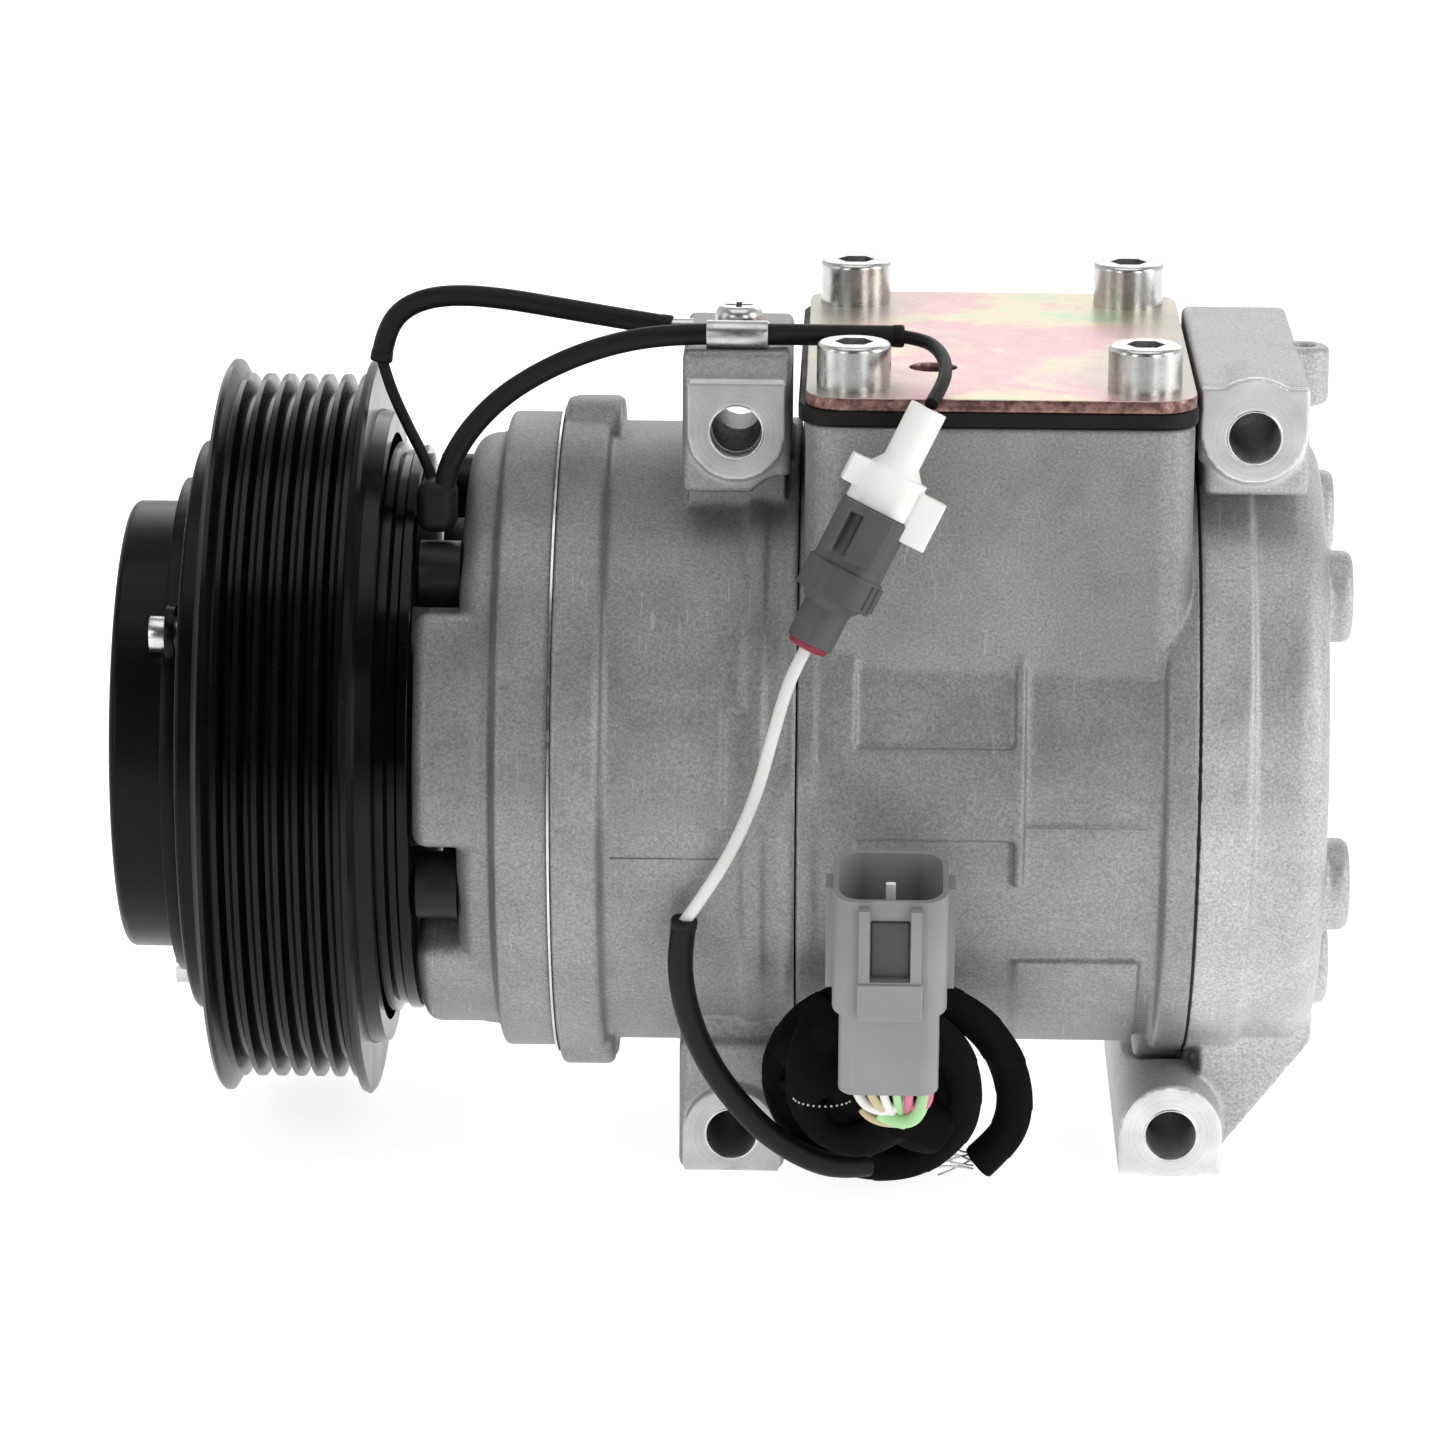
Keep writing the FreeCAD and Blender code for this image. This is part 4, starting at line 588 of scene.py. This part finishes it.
# Each route lists its control points in millimetres, as the CAD's own tubes have them.
GROUND_WIRE = [(-52.5, -25.4, 119.3), (-53.1, -25.0, 124.0), (-55.0, -22.2, 128.0),
               (-57.7, -19.0, 132.1), (-60.1, -16.4, 136.3), (-62.0, -14.8, 140.5),
               (-63.1, -14.0, 144.3)]
GROUND_SLEEVE = [(-63.1, -14.0, 144.3), (-62.4, -13.9, 148.5), (-59.8, -14.1, 152.8),
                 (-55.0, -14.8, 155.3), (-48.5, -16.0, 156.2), (-40.4, -17.4, 155.8),
                 (-30.4, -19.0, 154.5), (-20.2, -20.4, 153.1), (-11.6, -21.5, 152.0)]
COIL_SLEEVE = [(-51.1, -28.5, 120.1), (-51.0, -28.5, 124.4), (-49.6, -28.5, 129.2),
               (-46.0, -28.1, 134.9), (-40.7, -28.5, 140.4), (-33.6, -30.0, 145.3),
               (-25.4, -31.5, 149.3), (-16.6, -33.0, 152.0), (-7.7, -34.1, 153.1),
               (1.5, -34.0, 153.1), (10.5, -31.5, 152.7), (20.0, -28.0, 151.9),
               (29.5, -27.0, 151.7)]
LEAD_CABLE = [(29.5, -27.0, 151.7), (33.6, -29.3, 151.6), (36.4, -34.9, 150.9),
              (37.6, -42.5, 149.7), (37.1, -50.1, 147.9), (34.9, -57.1, 145.8)]
WHITE_WIRE = [(14.4, -64.2, 105.0), (12.0, -64.6, 100.6), (10.0, -64.5, 94.9), (7.9, -64.0, 86.7),
              (5.5, -63.0, 77.4), (1.8, -61.5, 67.9), (-3.0, -59.5, 59.0), (-7.1, -58.0, 52.7)]
LEAD_SLEEVE = [(-7.1, -58.0, 52.7), (-8.0, -57.5, 46.5), (-7.4, -57.0, 39.4), (-5.5, -55.6, 31.9),
               (-2.1, -54.1, 24.3), (2.6, -53.2, 17.6), (8.1, -52.7, 11.7), (15.0, -52.2, 7.3),
               (21.1, -50.2, 5.0), (25.7, -47.6, 4.9)]
LOOM = [(31.1, -62.0, 17.6), (27.1, -58.6, 13.9), (22.1, -55.8, 12.2), (16.9, -54.7, 14.4),
        (13.9, -56.2, 20.4), (14.2, -58.8, 28.3), (18.5, -60.6, 34.4), (25.7, -61.2, 37.5),
        (33.8, -60.8, 36.2), (40.3, -58.6, 30.6), (43.1, -55.0, 22.4), (41.8, -50.9, 13.6),
        (36.7, -47.5, 6.9), (29.5, -46.0, 4.3), (21.4, -46.0, 5.6), (14.2, -46.4, 10.2),
        (10.0, -47.8, 17.5), (9.8, -50.2, 26.0), (14.1, -52.6, 33.5), (21.7, -53.7, 38.3),
        (30.4, -53.4, 39.7), (39.3, -51.0, 36.7), (46.5, -48.0, 30.7), (51.3, -46.0, 22.5),
        (52.0, -44.6, 13.9), (49.4, -44.0, 7.7), (45.5, -44.0, 4.1)]
SIGNAL_WIRES = [
    ("wire_tan", [(25.0, -70.9, 30.1), (25.4, -70.0, 26.2), (27.9, -67.0, 21.6),
                  (30.9, -63.5, 18.9), (32.0, -61.4, 17.2)]),
    ("wire_white", [(27.7, -70.9, 30.1), (28.0, -69.8, 25.6), (29.4, -66.4, 21.0),
                    (31.4, -63.3, 18.0), (31.6, -61.2, 16.4)]),
    ("wire_green", [(30.4, -70.9, 30.1), (30.4, -69.8, 25.6), (31.2, -66.2, 21.2),
                    (31.6, -63.3, 18.5), (30.4, -62.0, 17.6)]),
    ("wire_pink", [(33.0, -70.9, 30.1), (32.7, -69.9, 25.9), (32.6, -66.6, 21.8),
                   (32.1, -63.7, 19.3), (31.0, -62.4, 18.4)]),
]
CORDS = (
    # name, route, thickness in mm, length, look and slot, far end, pieces at its ends
    ("ground_wire_cord", GROUND_WIRE, 2.0, 0.030, "sleeve_black", "object", []),
    ("ground_sleeve_cord", GROUND_SLEEVE, 3.8, 0.058, "sleeve_black", "fitting", ["ring_terminal"]),
    ("coil_lead_sleeve_cord", COIL_SLEEVE, 3.8, 0.097, "sleeve_black", "object", []),
    ("coil_lead_cable_cord", LEAD_CABLE, 2.4, 0.033, "sleeve_black", "connector",
     ["white_connector"]),
    ("white_wire_cord", WHITE_WIRE, 2.2, 0.057, "wire_white", "object", ["dark_connector"]),
    ("lead_sleeve_cord", LEAD_SLEEVE, 4.5, 0.065, "sleeve_black", "object", []),
)
LOOM_DIAMETER = 6.6 * MM
TAPE_PITCH = 8.5 * MM
LOOM_TRIM = (
    # name, look, half thickness in mm, route
    ("loom_splice", "loom_tape", 6.1,
     [(12.5, -50.5, 31), (20, -53.5, 25), (28, -54.5, 19.5), (38, -50, 13.5)]),
    ("loom_splice_top", "loom_tape", 4.8,
     [(20, -53, 31), (28, -54, 31.5), (36, -52.5, 29), (41, -50, 20)]),
    ("loom_splice_low", "loom_tape", 4.6, [(13.5, -51, 24), (19, -52.5, 16.5), (28, -52.5, 12)]),
    ("loom_sleeve", "loom_tape", 5.1,
     [(20.5, -56.8, 36.5), (16.2, -57.8, 31), (15.8, -59.3, 25), (18, -60.2, 21.6)]),
    ("loose_white", "wire_white", 0.95,
     [(23.2, -67.0, 28), (23.4, -66.2, 23.2), (28.2, -66.4, 20.6), (32.4, -66.6, 23.2),
      (33.2, -68, 28)]),
    ("loose_green", "wire_green", 1.25,
     [(27.6, -65.4, 20.4), (31, -66, 18.4), (35.2, -66.6, 20.6), (35.6, -68.4, 27)]),
    ("loose_tan", "wire_tan", 0.8, [(24.6, -63.5, 20.4), (26.6, -65.2, 18), (32, -65, 18.5)]),
    ("loose_pink", "wire_pink", 0.8,
     [(31.6, -65.8, 22.8), (34.4, -67.2, 21.5), (36.6, -67.6, 23.6), (36.2, -69, 28)]),
)
THREAD_ENDS = ((36.4, -46.2, 3.9), (37.6, -45.2, 5.8), (39.2, -47, 6.9), (38.3, -46, 2.4),
               (40.4, -44.8, 4.9), (41.6, -46.4, 7.6))
TRIM_SLOTS = {"loom_tape": "loom_tape", "clip_steel": "pin_metal"}      # the others are wires


def metres(points):
    return [tuple(value * MM for value in point) for point in points]


def plain_cord(looks, name, route, thickness, length, look, far_end, with_pieces):
    points = metres(route)
    diameter = thickness * MM
    piece = link(name, cord_curve(name, points, diameter))
    piece.data.materials.append(looks[look])
    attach(piece, "compressor")
    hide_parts(name.replace("_cord", ""))


def taped_loom(looks):
    """The harness bundle: a lumpy tube wound in cloth tape, with a step at each overlap."""
    line = spline_line(metres(LOOM))

    def radius(travelled, angle):
        turn = (travelled / TAPE_PITCH + angle / (2 * math.pi)) % 1
        step = 0.16 * MM * turn
        lumps = (0.10 * MM * math.sin(3 * angle + 260 * travelled)
                 + 0.07 * MM * math.sin(5 * angle - 410 * travelled))
        return LOOM_DIAMETER / 2 - 0.12 * MM + step + lumps

    dense = []
    for first, second in zip(line, line[1:]):
        dense += [first, first.lerp(second, 0.5)]
    dense.append(line[-1])
    piece = mesh_piece("harness_loom_cord", lambda bm: swept(bm, dense, radius, 36),
                       looks["loom_tape"])
    extras = loom_trim(looks)
    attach(piece, "compressor")
    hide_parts("harness_loom")


def loom_trim(looks):
    """The bound splice in the loom's turns, its wide sleeve, the loose wires and a frayed tail."""
    runs = list(LOOM_TRIM)
    for number, end in enumerate(THREAD_ENDS):
        start = (44.6, -44.6 + 0.3 * number, 3.2 + 0.55 * number)
        middle = tuple((a + b) / 2 + 0.5 * (-1) ** number for a, b in zip(start, end))
        runs.append((f"loom_thread_{number}", "clip_steel", 0.2, [start, middle, end]))
    for name, look, size, route in runs:
        line = spline_line(metres(route))
        lump = 0.05 if look == "loom_tape" else 0

        def radius(travelled, angle):
            wave = (math.sin(2 * angle + 300 * travelled)
                    + 0.7 * math.sin(3 * angle - 520 * travelled))
            return size * MM * (1 + lump * wave)

        detail(name, lambda bm: swept(bm, line, radius, 28), looks[look],
               TRIM_SLOTS.get(look, "wire_mixed"))

    def stitches(bm):
        for step in range(13):
            turn = math.radians(195 + 11.5 * step)
            place = Vector((17.6 + 5.3 * math.cos(turn), -60.3 + 5.5 * math.sin(turn), 21.6)) * MM
            bmesh.ops.create_icosphere(bm, subdivisions=1, radius=0.27 * MM,
                                       matrix=Matrix.Translation(place))

    detail("loom_stitches", stitches, looks["clip_steel"], "pin_metal")
    return [name for name, *_ in runs] + ["loom_stitches"]


def make_cords(looks):
    for row in CORDS:
        plain_cord(looks, *row)
    taped_loom(looks)
    for look, route in SIGNAL_WIRES:
        line = spline_line(metres(route))
        piece = mesh_piece("signal_" + look,
                           lambda bm: swept(bm, line, lambda travelled, angle: 0.8 * MM, 16),
                           looks[look])
        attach(piece, "compressor")
        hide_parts("signal_wires")


# ---------------------------------------------------------------- small details

def sleeve_mouths(looks):
    """The open ends of the black sleeves, each a thin flared lip round the wire that comes out."""
    places = (("mouth_lead_sleeve", LEAD_SLEEVE[0], LEAD_SLEEVE[1], 4.5, 2.2),
              ("mouth_ground_sleeve", GROUND_SLEEVE[0], GROUND_SLEEVE[1], 3.8, 2.0),
              ("mouth_coil_sleeve", COIL_SLEEVE[-1], COIL_SLEEVE[-2], 3.8, 2.4),
              ("mouth_ground_end", GROUND_SLEEVE[-1], GROUND_SLEEVE[-2], 3.8, 2.6))
    for name, mouth, inside, outer, inner in places:
        start = Vector(mouth) * MM
        along = (Vector(inside) - Vector(mouth)).normalized()
        half, gap = outer / 2 * MM, inner / 2 * MM
        outline = [(-0.7 * MM, half * 0.99), (-0.3 * MM, half * 1.07), (1.2 * MM, half * 1.03),
                   (1.2 * MM, half * 0.9), (0.2 * MM, gap * 1.12), (-0.7 * MM, gap * 1.25)]
        detail(name, lambda bm: turned(bm, outline, start, along, 32), looks["sleeve_black"],
               "sleeve_black")


def connector_seal(looks):
    """The red silicone seal in the lower end of the dark connector."""
    start = Vector(WHITE_WIRE[0]) * MM
    along = (Vector(LEAD_CABLE[-1]) - Vector(WHITE_WIRE[0])).normalized()
    outline = [(-0.9 * MM, 1.2 * MM), (-1.2 * MM, 2.2 * MM), (-0.9 * MM, 3.4 * MM),
               (-0.2 * MM, 3.7 * MM), (0.3 * MM, 3.7 * MM), (0.3 * MM, 1.2 * MM)]
    detail("connector_seal", lambda bm: turned(bm, outline, start, along, 40), looks["seal_red"],
           "rubber_black")


def connector_ridges(looks):
    """Three finger ridges on the right shoulder of the dark connector."""
    foot = Vector(WHITE_WIRE[0])
    up = (Vector(LEAD_CABLE[-1]) - foot).normalized()
    side = -up.cross(Vector((0, 1, 0))).normalized()
    deep = up.cross(side)
    for number, angle in enumerate((8, 27, 46)):
        turn = math.radians(angle)
        out = foot + side * (1.3 + 5.6 * math.cos(turn)) - deep * (0.5 + 5.6 * math.sin(turn))
        line = [(out + up * (9.3 + 0.5 * step)) * MM for step in range(10)]
        detail(f"connector_ridge_{number}",
               lambda bm: swept(bm, line, lambda travelled, angle: 0.45 * MM, 12),
               looks["connector_dark"], "connector_dark")


def connector_window(looks):
    """A dark box as painted shade behind the grey connector's latch window, and the raised pad
    under it.
    """
    foot = Vector((29.0, -72.0, 30.3))
    up = Vector((0, -0.2756, 0.9613))
    deep = Vector((0, 0.9613, 0.2756))

    def box(bm, x, y, z):
        corners = [bm.verts.new((foot + Vector((a, 0, 0)) + deep * b + up * c) * MM)
                   for a in x for b in y for c in z]
        for face in ((0, 1, 3, 2), (4, 6, 7, 5), (0, 4, 5, 1), (2, 3, 7, 6), (0, 2, 6, 4),
                     (1, 5, 7, 3)):
            bm.faces.new([corners[i] for i in face])

    for name, look, sizes in (
            # the window box is painted shade, dark where the inside of the window lies in shade
            ("connector_window", "window_dark", ((-3.3, 3.3), (-8.5, -7.6), (24.9, 36.0))),
            ("connector_pad", "connector_grey", ((-5.6, 5.6), (-10.35, -9.6), (17.0, 24.4)))):
        bevel(detail(name, lambda bm: box(bm, *sizes), looks[look], "connector_grey"), 0.3 * MM)


def bore_details(looks):
    """A bright chamfer round each ear's bore, and the thread in the front top ear."""
    for number, (x, z) in enumerate(EAR_BORES):
        outline = [(-0.06 * MM, 4.55 * MM), (-0.06 * MM, 4.75 * MM), (0.15 * MM, 5.15 * MM),
                   (0.5 * MM, 4.9 * MM), (0.7 * MM, 4.5 * MM)]
        start = (x, EAR_FACE_Y - 0.02 * MM, z)
        detail(f"bore_chamfer_{number}", lambda bm: turned(bm, outline, start, INWARD, 64),
               looks["milled"], "cast_aluminium")
    x, z = EAR_BORES[0]
    crests = []
    for step in range(15):
        crests += [((4 + 1.25 * step) * MM, 4.46 * MM), ((4.62 + 1.25 * step) * MM, 4.12 * MM)]
    crests += [(22.8 * MM, 4.46 * MM), (22.8 * MM, 4.7 * MM), (4 * MM, 4.7 * MM)]
    detail("ear_thread", lambda bm: turned(bm, crests, (x, EAR_FACE_Y, z), INWARD, 48),
           looks["milled"], "cast_aluminium")


def flash_lines(looks):
    """Raised parting lines left by the moulds, as thin ridges on the castings."""
    runs = (("flash_rear", -2.5, 56.0, 126, 184), ("flash_front", -9.0, 56.8, 90, 111))
    for name, angle, radius, start, end in runs:
        ends = [round_body(angle, radius, start), round_body(angle, radius, end)]
        line = [ends[0].lerp(ends[1], step / 12) for step in range(13)]
        detail(name, lambda bm: swept(bm, line, lambda travelled, angle: 0.16 * MM, 8),
               looks["cast_rear_cylinder"], "cast_aluminium")


FLOOR_REACH = 6


def set_stage():
    floor = mesh_piece("floor", lambda bm: bmesh.ops.create_grid(bm, x_segments=1, y_segments=1,
                                                                 size=FLOOR_REACH))
    n = Nodes("pale_glowing_floor")
    n.set(Roughness=0.9, Specular_IOR_Level=0.0, Emission_Color=(1, 1, 1, 1))
    # painted light: the floor glows, brightest under the compressor and fading towards the front,
    # lighting it from below
    n.link(n.span(n.axis("Y"), -0.5, -0.22, 0.12, 0.80), n.shader.inputs["Emission Strength"])
    tone = n.ramp(n.noise(3, 2, 0.5), [(0.3, grey(0.79)), (0.7, grey(0.81))])
    # painted shade: the floor's colour falls to dark grey towards the front, out of view, darkening
    # what the front faces reflect and receive
    tone = n.mix(n.span(n.axis("Y"), -0.6, -0.25, 0.4, 0), tone, grey(0.2))
    floor.data.materials.append(n.finish(tone))


# ---------------------------------------------------------------- light

# name, place, size and power of each soft box
BOXES = (
    ("top_box", (0.0, -0.15, 1.1), (1.0, 0.8), 3),
    ("front_left_box", (-0.75, -1.25, 0.40), (0.4, 0.9), 3),
    ("front_right_box", (0.80, -1.25, 0.40), (0.4, 0.9), 4.5),
    ("left_box", (-1.2, -0.4, 0.5), (0.4, 0.9), 1.5),
    ("right_box", (1.2, -0.3, 0.5), (0.5, 0.9), 4.5),
    ("rear_box", (0.2, 1.1, 0.7), (1.2, 0.6), 3),
)
BOXES_FACE = Vector((0, 0, 0.08))


def soft_light(name, place, size, power):
    data = bpy.data.lights.new(name, "AREA")
    data.shape = "RECTANGLE"
    data.size, data.size_y = size
    data.energy = power
    light = bpy.data.objects.new(name, data)
    bpy.context.scene.collection.objects.link(light)
    light.location = place
    light.rotation_euler = (BOXES_FACE - Vector(place)).to_track_quat("-Z", "Y").to_euler()
    light.visible_camera = False


def light_scene():
    """A white room, darker overhead and at the front, with soft boxes round the table."""
    world = bpy.data.worlds.new("studio")
    bpy.context.scene.world = world
    world.use_nodes = True
    tree = world.node_tree
    direction = tree.nodes.new("ShaderNodeTexCoord")
    parts = tree.nodes.new("ShaderNodeSeparateXYZ")
    tree.links.new(direction.outputs["Generated"], parts.inputs[0])
    spans = []
    for source, numbers in (("Y", (-0.85, 0.4, 0.05, 0.8)), ("Z", (0.3, 0.9, 1.0, 0.4))):
        span = tree.nodes.new("ShaderNodeMapRange")
        for name, number in zip(MAP_RANGE, numbers):
            span.inputs[name].default_value = number
        tree.links.new(parts.outputs[source], span.inputs["Value"])
        spans.append(span.outputs[0])
    both = tree.nodes.new("ShaderNodeMath")
    both.operation = "MULTIPLY"
    for place, span in enumerate(spans):
        tree.links.new(span, both.inputs[place])
    tree.links.new(both.outputs[0], tree.nodes["Background"].inputs["Strength"])
    tree.nodes["Background"].inputs["Color"].default_value = (1, 1, 1, 1)
    for box in BOXES:
        soft_light(*box)
    bpy.context.scene.view_settings.view_transform = "Standard"


make_camera()
LOOKS = make_materials()
make_cords(LOOKS)
dress_nodes(LOOKS)
shape_nodes()
sleeve_mouths(LOOKS)
connector_seal(LOOKS)
connector_ridges(LOOKS)
connector_window(LOOKS)
bore_details(LOOKS)
flash_lines(LOOKS)
set_stage()
light_scene()
